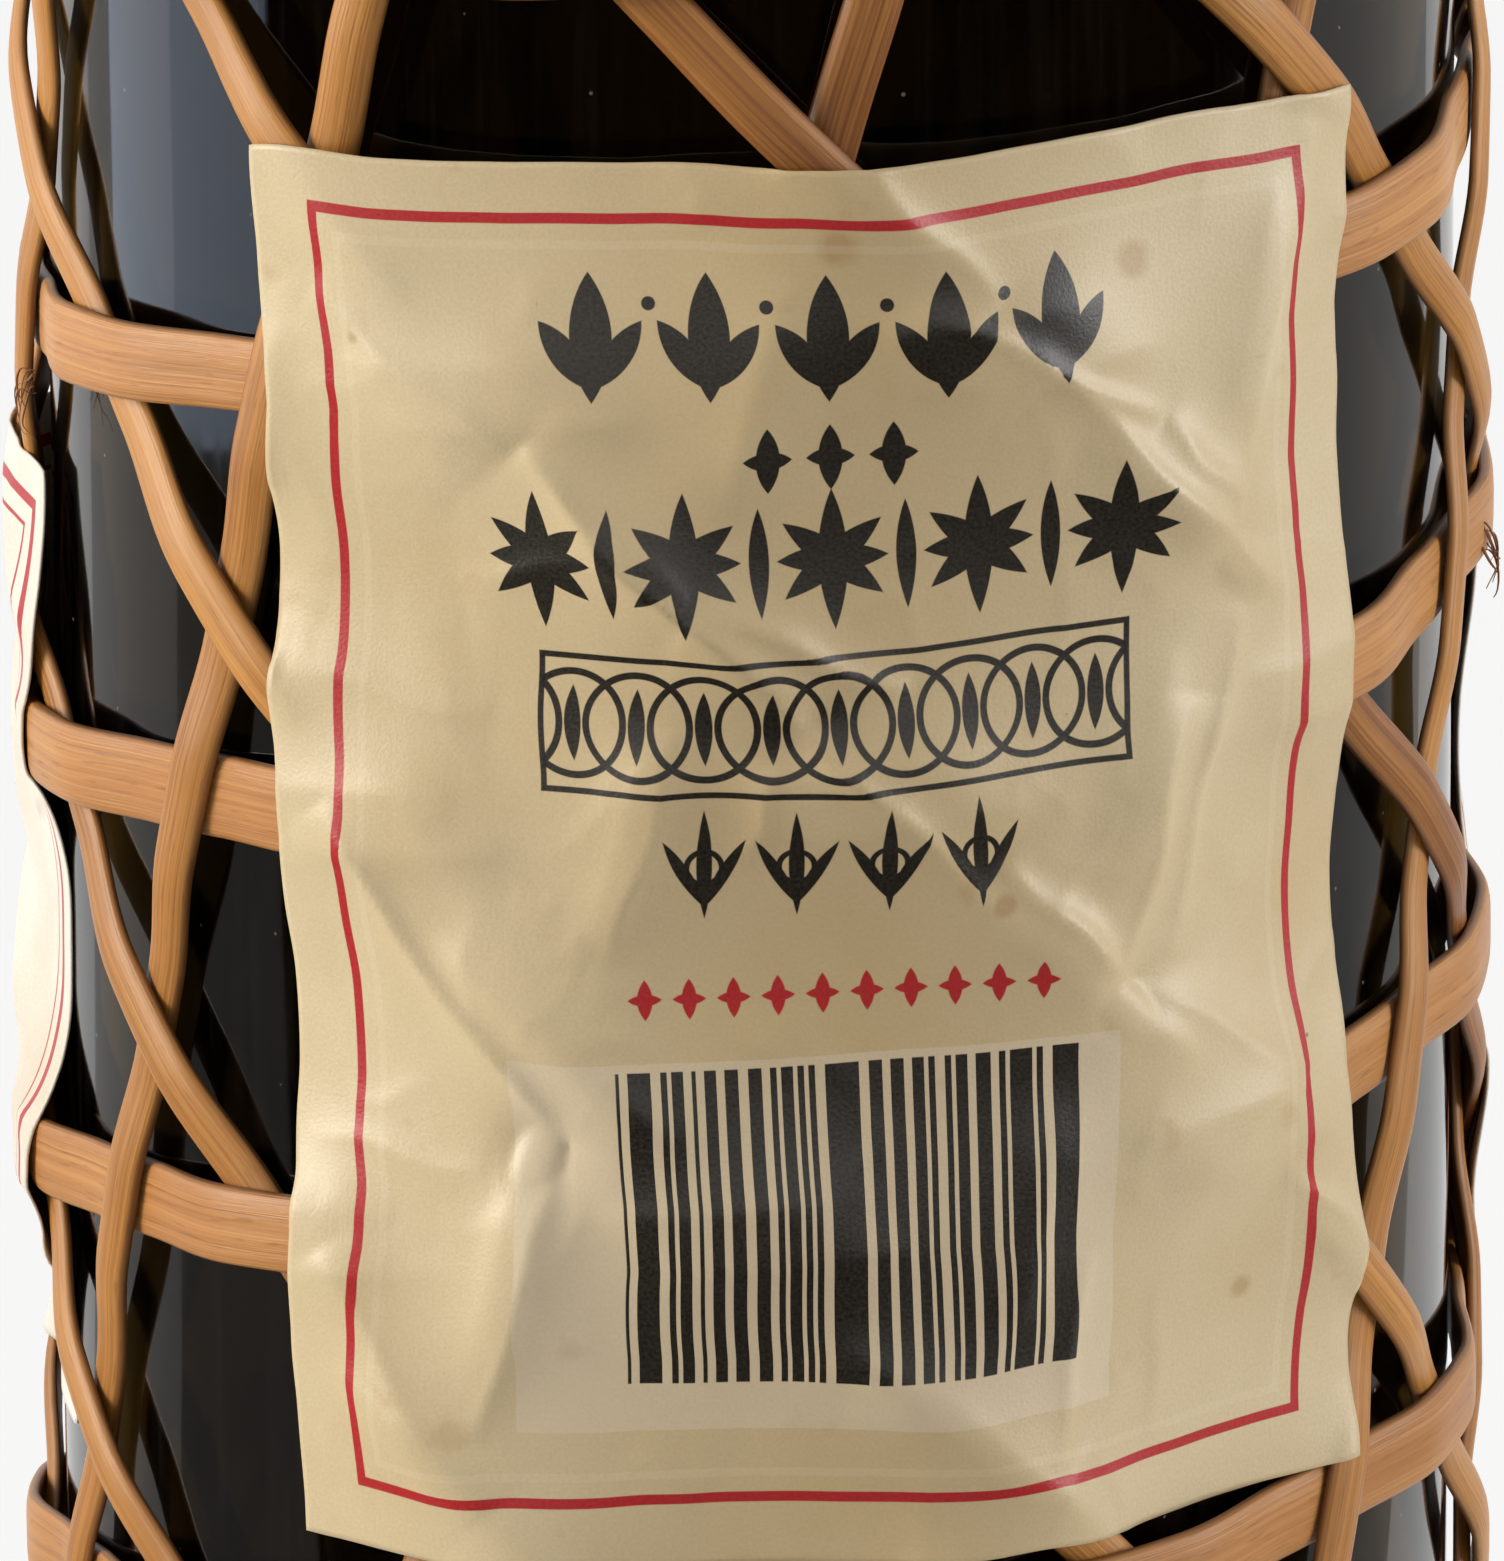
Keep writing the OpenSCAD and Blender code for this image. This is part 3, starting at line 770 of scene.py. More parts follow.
def glass_material():
    """Dark bottle glass, blown in a mould: black where it is thick, amber where light grazes its wall."""
    colours = bpy.context.scene.bottle_colours
    material, tree = blank_material("Dark amber bottle glass")
    where = put(tree, "ShaderNodeTexCoord")
    # Settled dust: sparse pale specks, and smears wiped down the side
    speck = put(tree, "ShaderNodeTexVoronoi", {"Vector": where.outputs["Object"], "Scale": 1 / (2.6 * MM)})
    specks = put(tree, "ShaderNodeMapRange", {
        "Value": speck, "From Min": 0.06, "From Max": 0.03, "To Min": 0.0, "To Max": 0.3})
    run_place = put(tree, "ShaderNodeMapping", {"Vector": where.outputs["Object"], "Scale": (1.0, 1.0, 0.04)})
    runs = put(tree, "ShaderNodeTexNoise", {
        "Vector": run_place, "Scale": 1 / (1.3 * MM), "Detail": 4.0, "Roughness": 0.65})
    smear = put(tree, "ShaderNodeMapRange", {
        "Value": runs, "From Min": 0.5, "From Max": 0.8, "To Min": 0.0, "To Max": 0.010})
    dust = put(tree, "ShaderNodeMath", {0: specks, 1: smear}, operation="MAXIMUM")
    # Slow waves left by the mould bend the reflections a little
    wave = put(tree, "ShaderNodeTexNoise", {
        "Vector": where.outputs["Object"], "Scale": 1 / (16 * MM), "Detail": 1.0})
    bump = put(tree, "ShaderNodeBump", {"Height": wave, "Strength": 0.2, "Distance": 0.3 * MM})
    rough = put(tree, "ShaderNodeMapRange", {
        "Value": runs, "From Min": 0.4, "From Max": 0.8, "To Min": 0.03, "To Max": 0.12})
    glass = put(tree, "ShaderNodeBsdfPrincipled", {
        "Base Color": linear(colours.glass), "Roughness": rough, "IOR": 1.52, "Transmission Weight": 1.0,
        "Normal": bump})
    film = put(tree, "ShaderNodeBsdfPrincipled", {"Base Color": linear("#A79F92"), "Roughness": 0.9})
    shader = put(tree, "ShaderNodeMixShader", {0: dust, 1: glass, 2: film})
    put(tree, "ShaderNodeOutputMaterial", {"Surface": shader})
    return material


class BOTTLE_OT_glass(bpy.types.Operator):
    """Turn the glass bottle with its push-up, shoulder, neck and lip."""

    bl_idname = "bottle.glass"
    bl_label = "Glass"

    def execute(self, context):
        piece = turned("dark_glass", glass_outline(), GLASS_SIDES)
        dress(piece, glass_material(), "glass", "bottle", "glass_bottle")
        return {"FINISHED"}


def cork_material():
    """Natural cork, punched from bark: pale tan cells, dark lenticels and crumbs, quite matt."""
    colours = bpy.context.scene.bottle_colours
    material, tree = blank_material("Natural cork")
    where = put(tree, "ShaderNodeTexCoord")
    cells = put(tree, "ShaderNodeTexNoise", {
        "Vector": where.outputs["Object"], "Scale": 1 / (0.7 * MM), "Detail": 4.0})
    pore_place = put(tree, "ShaderNodeMapping", {"Vector": where.outputs["Object"], "Scale": (1.0, 0.3, 1.0)})
    pores = put(tree, "ShaderNodeTexVoronoi", {
        "Vector": pore_place, "Scale": 1 / (1.7 * MM), "Randomness": 1.0})
    pits = put(tree, "ShaderNodeMapRange", {
        "Value": pores, "From Min": 0.20, "From Max": 0.30, "To Min": 0.85, "To Max": 0.0})
    body = put(tree, "ShaderNodeValToRGB", {"Fac": cells})
    body.color_ramp.elements[0].position = 0.3
    body.color_ramp.elements[0].color = linear("#9A7246")
    body.color_ramp.elements[1].position = 0.7
    body.color_ramp.elements[1].color = linear(colours.cork)
    spotted = put(
        tree, "ShaderNodeMix", {"Factor": pits, "A": body, "B": linear("#4E3119")}, data_type="RGBA")
    depth = put(tree, "ShaderNodeMath", {0: cells, 1: pits}, operation="SUBTRACT")
    bump = put(tree, "ShaderNodeBump", {"Height": depth, "Strength": 0.6, "Distance": 0.25 * MM})
    shader = put(tree, "ShaderNodeBsdfPrincipled", {
        "Base Color": spotted.outputs[2], "Roughness": 0.85, "Normal": bump, "Specular IOR Level": 0.25})
    put(tree, "ShaderNodeOutputMaterial", {"Surface": shader})
    return material


class BOTTLE_OT_cork(bpy.types.Operator):
    """Cut the cork that closes the neck."""

    bl_idname = "bottle.cork"
    bl_label = "Cork"

    def execute(self, context):
        radius, low, high, cut = CORK_HIGH.x, CORK_LOW.z, CORK_HIGH.z, CORK_CHAMFER
        side = [(radius, low + cut + (high - low - 2 * cut) * i / 30) for i in range(1, 30)]
        outline = [(0, low), (radius - cut, low)]
        outline += arc(radius - cut, low + cut, cut, -QUARTER_TURN, 0, 5)[1:]
        outline += side + arc(radius - cut, high - cut, cut, 0, QUARTER_TURN, 5) + [(0, high)]
        piece = turned("cork_stopper", outline, CORK_SIDES)
        dress(piece, cork_material(), "cork", "cork", "cork")
        return {"FINISHED"}


# Labels


# How far each round of relax() presses the paper toward the glass, on a grid of the cell below
PAPER_PRESS = 1.3e-6
PRESS_ROUNDS = (2400, 700, 500)
GRID_CELL = 0.36 * MM
GRID_CELLS = 46000
SMALL_CREASES = 110
FOLD_STRENGTH = 2.0
PUCKER = 0.10 * MM
# Folds in the back label: two ends, height and spread, in millimetres from its middle
BACK_FOLDS = (
    (1, 43, 10, 33, 0.34, 0.8), (13, 28, 27, 13, 0.50, 0.7), (-18, 25, -2, 9, 0.46, 0.7),
    (-4, 11, 9, -3, 0.42, 0.6), (-31, 3, -16.5, -16, 0.55, 0.7), (21, 8, 16.6, -8, 0.42, 0.7),
    (-9, 9, -13, -5, 0.30, 0.6), (-16.6, -16, -21.5, -34, 0.44, 0.7), (9, 0, 17, -8.5, 0.52, 0.6),
    (28, -22, 35, -29, 0.36, 0.6), (-32, -24, -21, -38, 0.38, 1.2), (31, 40, 24, 17, 0.36, 1.1),
    (14, -24, 12, -37, 0.22, 0.5), (-22, 17, -11, 19, 0.20, 1.0), (17, -8, 30, -17, 0.34, 1.2),
    (-33, 11, -20, 9, 0.18, 0.8), (-33, -17, -21, -18, 0.16, 0.7), (-17.5, 25, -8, 16.5, 0.38, 0.5),
    (-8, 16.5, 4, 10.5, 0.44, 0.5), (5, 33.5, 19.5, 24.5, 0.40, 0.5), (19.5, 24.5, 25, 18.5, 0.36, 0.5),
    (-30, 33.5, -18, 25, 0.22, 0.7), (-3.5, 6.7, -5.6, 0.5, 0.24, 0.5), (24.7, 12.6, 19.8, -7.6, 0.34, 0.6))

# Dents in it: place, depth and spread
BACK_DENTS = ((-17.5, -16.5, 0.9, 2.6), (17.3, -9.2, 0.7, 2.2), (-2.0, 8.6, 0.5, 2.4), (24.5, 15.5, 0.6, 2.6))

# Small brown stains on each label: middle and radius, in millimetres
BACK_STAINS = (
    ((0.8, 37.2), 1.5), ((18.5, 34.2), 1.2), ((-27.5, 31.0), 0.6), ((9.0, -2.5), 0.7), ((25.0, -29.0), 0.8))
FRONT_STAINS = (((-50.0, 18.0), 1.6), ((31.0, -20.0), 1.2))


def cover_height(degrees, s):
    """Height of the cane's upper face over the glass at each point, zero between the strands."""
    weave = bpy.context.scene.weave_sizes
    radius = glass_skin(s, 0)[0]
    top = np.zeros_like(degrees)
    for family, count, lead in (
            ("left", weave.left_count, -weave.left_turn), ("right", weave.left_count + 1, weave.right_turn)):
        phase = left_phase(degrees, s) if family == "left" else right_phase(degrees, s)
        off = phase - np.round(phase)
        centre = degrees - off * 360 / count
        side = np.radians(off * 360 / count) * radius * np.cos(np.arctan(FULL_TURN * radius / lead))
        share = np.clip(1 - np.abs(side / (0.54 * weave.strand_w)) ** 2.4, 0, 1) ** 0.5
        crown = family_lift(family, centre, s) + 1.08 * weave.strand_t * share
        top = np.maximum(top, np.where(share > 0, crown + 0.08 * MM, 0))
    turns = (s - weave.line_up_z) / band_pitch() - (degrees - band_degrees(weave.line_up_z)) / 360
    off = (turns - np.round(turns)) * band_pitch()
    share = np.clip(1 - (np.abs(off) / (0.56 * weave.band_w)) ** 8, 0, 1) ** 0.5
    crown = family_lift("band", degrees, s) + 1.08 * weave.band_t * share
    band = np.where(share > 0, crown + 0.12 * MM, 0)
    return np.maximum(top, band)


def relax(cane, paper, press, rounds):
    """Pulls paper taut over the cane, with a steady press toward the glass."""
    for _ in range(rounds):
        edge = np.pad(paper, 1, mode="edge")
        mean = (edge[:-2, 1:-1] + edge[2:, 1:-1] + edge[1:-1, :-2] + edge[1:-1, 2:]) / 4
        paper = np.maximum(cane, mean - press)
    return paper


def shortened(step, paper, axis):
    """Distance that each step of the sheet covers along the glass when its rise and fall use up the rest."""
    rise = np.diff(paper, axis=axis)
    return np.sqrt(np.maximum(step ** 2 - rise ** 2, (0.4 * step) ** 2))


def from_middle(steps, axis):
    """Adds steps up, starting at the sheet's middle line."""
    pad = [(1, 0), (0, 0)] if axis == 0 else [(0, 0), (1, 0)]
    place = np.cumsum(np.pad(steps, pad), axis=axis)
    return place - place.take([place.shape[axis] // 2], axis=axis)


def creased(x, y, folds):
    """Height that sharp folds add: each is a line from end to end with a crest and soft sides."""
    height = np.zeros_like(x)
    for x0, y0, x1, y1, crest, spread in folds:
        dx, dy = (x1 - x0) * MM, (y1 - y0) * MM
        length = math.hypot(dx, dy)
        t = ((x - x0 * MM) * dx + (y - y0 * MM) * dy) / length ** 2
        side = ((x - x0 * MM) * dy - (y - y0 * MM) * dx) / length
        side = side + 0.25 * MM * np.sin(t * 9 + x0)
        fade = np.clip(1 - (2 * np.clip(t, -0.2, 1.2) - 1) ** 2, 0, 1) ** 0.7
        # One side of a fold is steeper than the other
        distance = np.abs(side) / (spread * MM * np.where(side > 0, 2.1, 1.2))
        height += crest * MM * fade * (0.55 * np.exp(-distance / 0.6) + 0.45 / (1 + distance ** 2 / 4))
    return height


def small_creases(width, height, count, seed):
    """Short shallow creases all over a handled sheet, in the form that creased() takes."""
    draw = np.random.RandomState(seed)
    creases = []
    for _ in range(count):
        x, y = draw.uniform(-0.5, 0.5, 2) * (width, height) / MM
        turn, reach = draw.uniform(0, math.pi), draw.uniform(1.5, 5.5)
        dx, dy = reach * math.cos(turn), reach * math.sin(turn)
        creases.append((x - dx, y - dy, x + dx, y + dy, draw.uniform(0.05, 0.17), draw.uniform(0.35, 0.8)))
    return tuple(creases)


def label_sheet(name, width, height, mid, level, tilt, press, folds, dents, seed):
    """A paper label, laid flat size for flat size over the cane, with a real thickness."""
    labels = bpy.context.scene.label_sizes
    # The grid's cell is GRID_CELL, or larger where the sheet would have more than GRID_CELLS cells, and the
    # press is the same on any grid
    cell = max(GRID_CELL, math.sqrt(width * height / GRID_CELLS))
    across, up = int(width / cell), int(height / cell)
    press = press * (cell / GRID_CELL) ** 2
    x = np.linspace(-width / 2, width / 2, across + 1)[:, None] + np.zeros((1, up + 1))
    y = np.linspace(-height / 2, height / 2, up + 1)[None, :] + np.zeros((across + 1, 1))
    lean = math.radians(tilt)
    body = GLASS_HIGH.x
    u, w, paper = x * body / (body + 2 * MM), y, 0
    for rounds in PRESS_ROUNDS:
        degrees = mid + np.degrees((u * math.cos(lean) - w * math.sin(lean)) / body)
        s = level + u * math.sin(lean) + w * math.cos(lean)
        cane = cover_height(degrees, s) + 0.05 * MM
        paper = relax(cane, np.maximum(cane, paper), press, rounds)
        paper = relax(cane, paper, 0, 8)
        middle = (paper[1:] + paper[:-1]) / 2
        u = from_middle(shortened(width / across, paper, 0) * body / (body + middle), 0)
        w = from_middle(shortened(height / up, paper, 1), 1)
    lift = paper + FOLD_STRENGTH * creased(x, y, folds)
    lift = lift + creased(x, y, small_creases(width, height, SMALL_CREASES, seed))
    for x0, y0, depth, spread in dents:
        lift = lift - depth * MM * np.exp(-((x - x0 * MM) ** 2 + (y - y0 * MM) ** 2) / (spread * MM) ** 2)
    lift = np.maximum(lift, cane)
    # Small puckers, only where the paper hangs free of the cane
    free = np.clip((paper - cane) / (0.5 * MM), 0, 1)
    pucker = smooth_noise(x / (2.1 * MM) + 1.3 * smooth_noise(y / (6 * MM), seed), seed + 1)
    pucker = pucker * smooth_noise(y / (4.4 * MM) + 0.8 * x / (7 * MM), seed + 2)
    lift = lift + PUCKER * pucker * free

    def place(u, v):
        i, j = np.round(u * across).astype(int), np.round(v * up).astype(int)
        return on_glass(s[i, j], degrees[i, j], lift[i, j])

    def values(u, v):
        return {"flat_x": (u - 0.5) * width, "flat_y": (v - 0.5) * height}

    piece = woven_sheet(name, across, up, place, False, False, values)
    point_outward(piece)
    solid = piece.modifiers.new("Paper thickness", "SOLIDIFY")
    solid.thickness = labels.paper_t
    solid.offset = 1
    return piece


def point_outward(piece):
    """Turns an open sheet's faces so that they look away from the bottle's axis."""
    bm = bmesh.new()
    bm.from_mesh(piece.data)
    bm.faces.ensure_lookup_table()
    face = bm.faces[len(bm.faces) // 2]
    centre = face.calc_center_median()
    if face.normal.dot(Vector((centre.x, centre.y, 0))) < 0:
        bmesh.ops.reverse_faces(bm, faces=bm.faces)
    bm.to_mesh(piece.data)
    bm.free()


def inked(tree, distance):
    """Mask of a printed shape, from the distance to its edge."""
    return put(tree, "ShaderNodeMapRange", {
        "Value": distance, "From Min": 0.03 * MM, "From Max": -0.03 * MM, "To Min": 0.0, "To Max": 1.0})


def box_distance(tree, x, y, centre, half):
    """Distance to a rectangle's edge, below zero inside it."""
    sides = []
    for value, at, reach in zip((x, y), centre, half):
        off = put(tree, "ShaderNodeMath", {0: value, 1: at}, operation="SUBTRACT")
        off = put(tree, "ShaderNodeMath", {0: off}, operation="ABSOLUTE")
        sides.append(put(tree, "ShaderNodeMath", {0: off, 1: reach}, operation="SUBTRACT"))
    return put(tree, "ShaderNodeMath", dict(enumerate(sides)), operation="MAXIMUM")


def frame_line(tree, x, y, centre, half, thick):
    """Mask of a rectangular printed line."""
    edge = put(tree, "ShaderNodeMath", {0: box_distance(tree, x, y, centre, half)}, operation="ABSOLUTE")
    return inked(tree, put(tree, "ShaderNodeMath", {0: edge, 1: thick / 2}, operation="SUBTRACT"))


def leaf(tree, spot, centre, degrees, length, width):
    """Distance to the edge of a pointed leaf, which stands upright at 0 degrees."""
    bow = (length ** 2 + width ** 2) / (4 * width) * MM
    local = put(tree, "ShaderNodeMapping", {
        "Vector": spot, "Location": (centre[0] * MM, centre[1] * MM, 0.0),
        "Rotation": (0.0, 0.0, math.radians(degrees))}, vector_type="TEXTURE")
    off = bow - width / 2 * MM
    sides = [
        put(tree, "ShaderNodeVectorMath", {0: local, 1: (x, 0.0, 0.0)}, operation="DISTANCE").outputs["Value"]
        for x in (off, -off)]
    far = put(tree, "ShaderNodeMath", dict(enumerate(sides)), operation="MAXIMUM")
    return put(tree, "ShaderNodeMath", {0: far, 1: bow}, operation="SUBTRACT")


def ring(tree, spot, centre, radius, stroke):
    """Distance to the edge of a ring drawn with a pen, or of a full disc where the stroke is zero."""
    away = put(tree, "ShaderNodeVectorMath", {
        0: spot, 1: (centre[0] * MM, centre[1] * MM, 0.0)}, operation="DISTANCE").outputs["Value"]
    away = put(tree, "ShaderNodeMath", {0: away, 1: radius * MM}, operation="SUBTRACT")
    if stroke:
        away = put(tree, "ShaderNodeMath", {0: away}, operation="ABSOLUTE")
        away = put(tree, "ShaderNodeMath", {0: away, 1: stroke / 2 * MM}, operation="SUBTRACT")
    return away


def repeated_row(tree, x, y, level, pitch, count, trim, draw):
    """Mask of a row of like ornaments, trimmed at both ends; draw gives the shapes of one, in millimetres."""
    shift = pitch * MM / 2 if count % 2 else 0.0
    across = put(tree, "ShaderNodeMath", {0: x, 1: shift}, operation="ADD")
    across = put(tree, "ShaderNodeMath", {0: across, 1: pitch * MM, 2: 0.0}, operation="WRAP")
    across = put(tree, "ShaderNodeMath", {0: across, 1: pitch * MM / 2}, operation="SUBTRACT")
    up = put(tree, "ShaderNodeMath", {0: y, 1: level * MM}, operation="SUBTRACT")
    nearest, *others = draw(put(tree, "ShaderNodeCombineXYZ", {0: across, 1: up}))
    for shape in others:
        nearest = put(tree, "ShaderNodeMath", {0: nearest, 1: shape}, operation="MINIMUM")
    ends = put(tree, "ShaderNodeMath", {0: x}, operation="ABSOLUTE")
    ends = put(
        tree, "ShaderNodeMath", {0: ends, 1: (pitch * count / 2 - trim) * MM}, operation="SUBTRACT")
    return inked(tree, put(tree, "ShaderNodeMath", {0: nearest, 1: ends}, operation="MAXIMUM"))


def paper_shader(tree, colour, ink_layers, stains, yellowed, x, y):
    """Uncoated label paper with printed layers: fine tooth, foxing, specks and a slight cockle."""
    flat = put(tree, "ShaderNodeCombineXYZ", {0: x, 1: y})
    tooth = put(tree, "ShaderNodeTexNoise", {"Vector": flat, "Scale": 1 / (0.22 * MM), "Detail": 3.0})
    cloud = put(tree, "ShaderNodeTexNoise", {
        "Vector": flat, "Scale": 1 / (22 * MM), "Detail": 4.0, "Roughness": 0.6})
    fox = put(tree, "ShaderNodeTexNoise", {"Vector": flat, "Scale": 1 / (5 * MM), "Detail": 3.0})
    speck = put(tree, "ShaderNodeTexVoronoi", {"Vector": flat, "Scale": 1 / (7 * MM)})
    tint = put(tree, "ShaderNodeMapRange", {
        "Value": cloud, "From Min": 0.35, "From Max": 0.7, "To Min": 0.0, "To Max": 0.5})
    # The middle of a label is browner than its sides
    aside = put(tree, "ShaderNodeMath", {0: x}, operation="ABSOLUTE")
    aside = put(tree, "ShaderNodeMath", {0: aside, 1: 1 / (26 * MM), 2: cloud}, operation="MULTIPLY_ADD")
    middle = put(tree, "ShaderNodeMapRange", {
        "Value": aside, "From Min": 0.6, "From Max": 1.35, "To Min": yellowed, "To Max": 0.0},
        interpolation_type="SMOOTHSTEP")
    foxing = put(tree, "ShaderNodeMapRange", {
        "Value": fox, "From Min": 0.66, "From Max": 0.8, "To Min": 0.0, "To Max": 0.45})
    specks = put(tree, "ShaderNodeMapRange", {
        "Value": speck, "From Min": 0.022, "From Max": 0.014, "To Min": 0.0, "To Max": 0.8})
    washes = [(tint, "#BFA273"), (middle, "#AD8E58"), (foxing, "#A97C48"), (specks, "#5B3A22")]
    # Damp has left a few small brown stains
    flat_mm = put(tree, "ShaderNodeVectorMath", {0: flat, 1: (1 / MM, 1 / MM, 1 / MM)}, operation="MULTIPLY")
    for centre, radius in stains:
        away = put(tree, "ShaderNodeVectorMath", {0: flat_mm, 1: (*centre, 0.0)}, operation="DISTANCE")
        ragged = put(tree, "ShaderNodeMath", {
            0: fox, 1: 2.4 * radius, 2: away.outputs["Value"]}, operation="MULTIPLY_ADD")
        stained = put(tree, "ShaderNodeMapRange", {
            "Value": ragged, "From Min": 2.3 * radius, "From Max": 1.7 * radius,
            "To Min": 0.0, "To Max": 0.4})
        washes.append((stained, "#9A6C38"))
    # The paper's fibres make it faintly mottled, drawn coarser than they are so that it shows
    mottle = put(tree, "ShaderNodeMapRange", {
        "Value": tooth, "From Min": 0.35, "From Max": 0.65, "To Min": 0.0, "To Max": 0.12})
    washes.append((mottle, "#8F7A56"))
    # Ink lies unevenly in the paper's tooth
    wear = put(tree, "ShaderNodeMapRange", {
        "Value": tooth, "From Min": 0.3, "From Max": 0.7, "To Min": 1.0, "To Max": 0.95})
    for mask, ink in ink_layers:
        washes.append((put(tree, "ShaderNodeMath", {0: mask, 1: wear}, operation="MULTIPLY"), ink))
    base = linear(colour)
    for share, wash in washes:
        mixed = put(tree, "ShaderNodeMix", {"Factor": share, "A": base, "B": linear(wash)}, data_type="RGBA")
        base = mixed.outputs[2]
    bump = put(tree, "ShaderNodeBump", {"Height": tooth, "Strength": 0.45, "Distance": 0.05 * MM})
    return put(tree, "ShaderNodeBsdfPrincipled", {
        "Base Color": base, "Roughness": 0.38, "Normal": bump, "IOR": 1.5, "Specular IOR Level": 0.45})


def back_label_material():
    """Cream offset paper printed in red and black, gone yellow with age."""
    colours = bpy.context.scene.bottle_colours
    material, tree = blank_material("Aged cream label paper")
    x = put(tree, "ShaderNodeAttribute", attribute_name="flat_x").outputs["Fac"]
    y = put(tree, "ShaderNodeAttribute", attribute_name="flat_y").outputs["Fac"]
    centre, half = (0.1 * MM, 0.4 * MM), (29.6 * MM, 37.9 * MM)
    inner = (half[0] - 1.5 * MM, half[1] - 1.5 * MM)
    # A faint pale line just inside the red frame
    pale_inner_line = frame_line(tree, x, y, centre, inner, 0.5 * MM)
    layers = [
        (put(tree, "ShaderNodeMath", {0: pale_inner_line, 1: 0.13}, operation="MULTIPLY"), "#E8DCC0"),
        (frame_line(tree, x, y, centre, half, 0.62 * MM), colours.red_ink)]

    # Rows of plain traditional ornament, bold above and lighter below
    def palmettes(spot):
        return [
            leaf(tree, spot, (0, 0), 0, 7.4, 2.4), leaf(tree, spot, (1.5, -1.0), -36, 4.8, 1.6),
            leaf(tree, spot, (-1.5, -1.0), 36, 4.8, 1.6), ring(tree, spot, (3.35, 1.9), 0.4, 0),
            ring(tree, spot, (-3.35, 1.9), 0.4, 0)]

    def stars(spot):
        return [leaf(tree, spot, (0, 0), 0, 3.9, 1.4), leaf(tree, spot, (0, 0), 90, 2.8, 1.1)]

    def rosettes(spot):
        petals = [leaf(tree, spot, (0, 0), turn, 8.2 - 0.02 * abs(turn), 1.7) for turn in (0, 52, 90, -52)]
        return petals + [
            leaf(tree, spot, (4.2, 0), 0, 6.4, 1.15), leaf(tree, spot, (-4.2, 0), 0, 6.4, 1.15)]

    def chain(spot):
        return [ring(tree, spot, (at, 0), 3.0, 0.42) for at in (-3.8, 0, 3.8)] + [
            leaf(tree, spot, (0, 0), 0, 4.4, 1.0)]

    def fans(spot):
        return [
            leaf(tree, spot, (0, 0), 0, 6.6, 0.9), leaf(tree, spot, (1.1, -0.6), -30, 5.0, 0.75),
            leaf(tree, spot, (-1.1, -0.6), 30, 5.0, 0.75), ring(tree, spot, (0, -0.2), 1.0, 0.35)]

    def beads(spot):
        return [leaf(tree, spot, (0, 0), 0, 2.4, 0.85), leaf(tree, spot, (0, 0), 90, 1.9, 0.7)]

    rows = [
        (31.6, 6.7, 5, palmettes, colours.black_ink), (24.6, 3.6, 3, stars, colours.black_ink),
        (18.6, 8.4, 5, rosettes, colours.black_ink), (9.0, 3.8, 9, chain, colours.black_ink),
        (0.9, 5.2, 4, fans, colours.black_ink), (-7.2, 2.5, 10, beads, colours.red_ink)]
    for level, pitch, count, draw, ink in rows:
        trim = 0.65 if draw is rosettes else 0.4 if draw is palmettes else 0
        layers.append((repeated_row(tree, x, y, level, pitch, count, trim, draw), ink))
    border = frame_line(tree, x, y, (0.0, 9.0 * MM), (17.1 * MM, 3.9 * MM), 0.36 * MM)
    layers.append((border, colours.black_ink))
    # A panel of upright stripes of uneven width on a paler field
    plate = inked(tree, box_distance(tree, x, y, (-1.8 * MM, -22.1 * MM), (17.6 * MM, 11.2 * MM)))
    layers.append((put(tree, "ShaderNodeMath", {0: plate, 1: 0.3}, operation="MULTIPLY"), "#E2D6C4"))
    place = put(tree, "ShaderNodeCombineXYZ", {0: x})
    stripe = put(tree, "ShaderNodeTexNoise", {"Vector": place, "Scale": 1 / (0.62 * MM), "Detail": 0.0})
    stripe = put(tree, "ShaderNodeMapRange", {
        "Value": stripe, "From Min": 0.515, "From Max": 0.53, "To Min": 1.0, "To Max": 0.0})
    panel = inked(tree, box_distance(tree, x, y, (0.1 * MM, -20.9 * MM), (13.2 * MM, 9.5 * MM)))
    striped = put(tree, "ShaderNodeMath", {0: stripe, 1: panel}, operation="MULTIPLY")
    layers.append((striped, colours.black_ink))
    shader = paper_shader(tree, colours.paper, layers, BACK_STAINS, 0.38, x, y)
    put(tree, "ShaderNodeOutputMaterial", {"Surface": shader})
    return material


def front_width():
    """Flat width of the front label, which wraps the crests of the cane."""
    arc_covered = math.radians(bpy.context.scene.label_sizes.front_arc)
    return arc_covered * (GLASS_HIGH.x + lifts("left")[1])


def front_label_material():
    """White label paper, brighter than the back label's, printed with a double red frame line."""
    colours, labels = bpy.context.scene.bottle_colours, bpy.context.scene.label_sizes
    material, tree = blank_material("White label paper")
    x = put(tree, "ShaderNodeAttribute", attribute_name="flat_x").outputs["Fac"]
    y = put(tree, "ShaderNodeAttribute", attribute_name="flat_y").outputs["Fac"]
    half = (front_width() / 2 - 2.2 * MM, labels.front_h / 2 - 2.6 * MM)
    inner = (half[0] - 1.6 * MM, half[1] - 1.6 * MM)
    layers = [
        (frame_line(tree, x, y, (0, 0), half, 0.7 * MM), colours.red_ink),
        (frame_line(tree, x, y, (0, 0), inner, 0.25 * MM), colours.red_ink)]
    shader = paper_shader(tree, colours.white_paper, layers, FRONT_STAINS, 0.0, x, y)
    put(tree, "ShaderNodeOutputMaterial", {"Surface": shader})
    return material


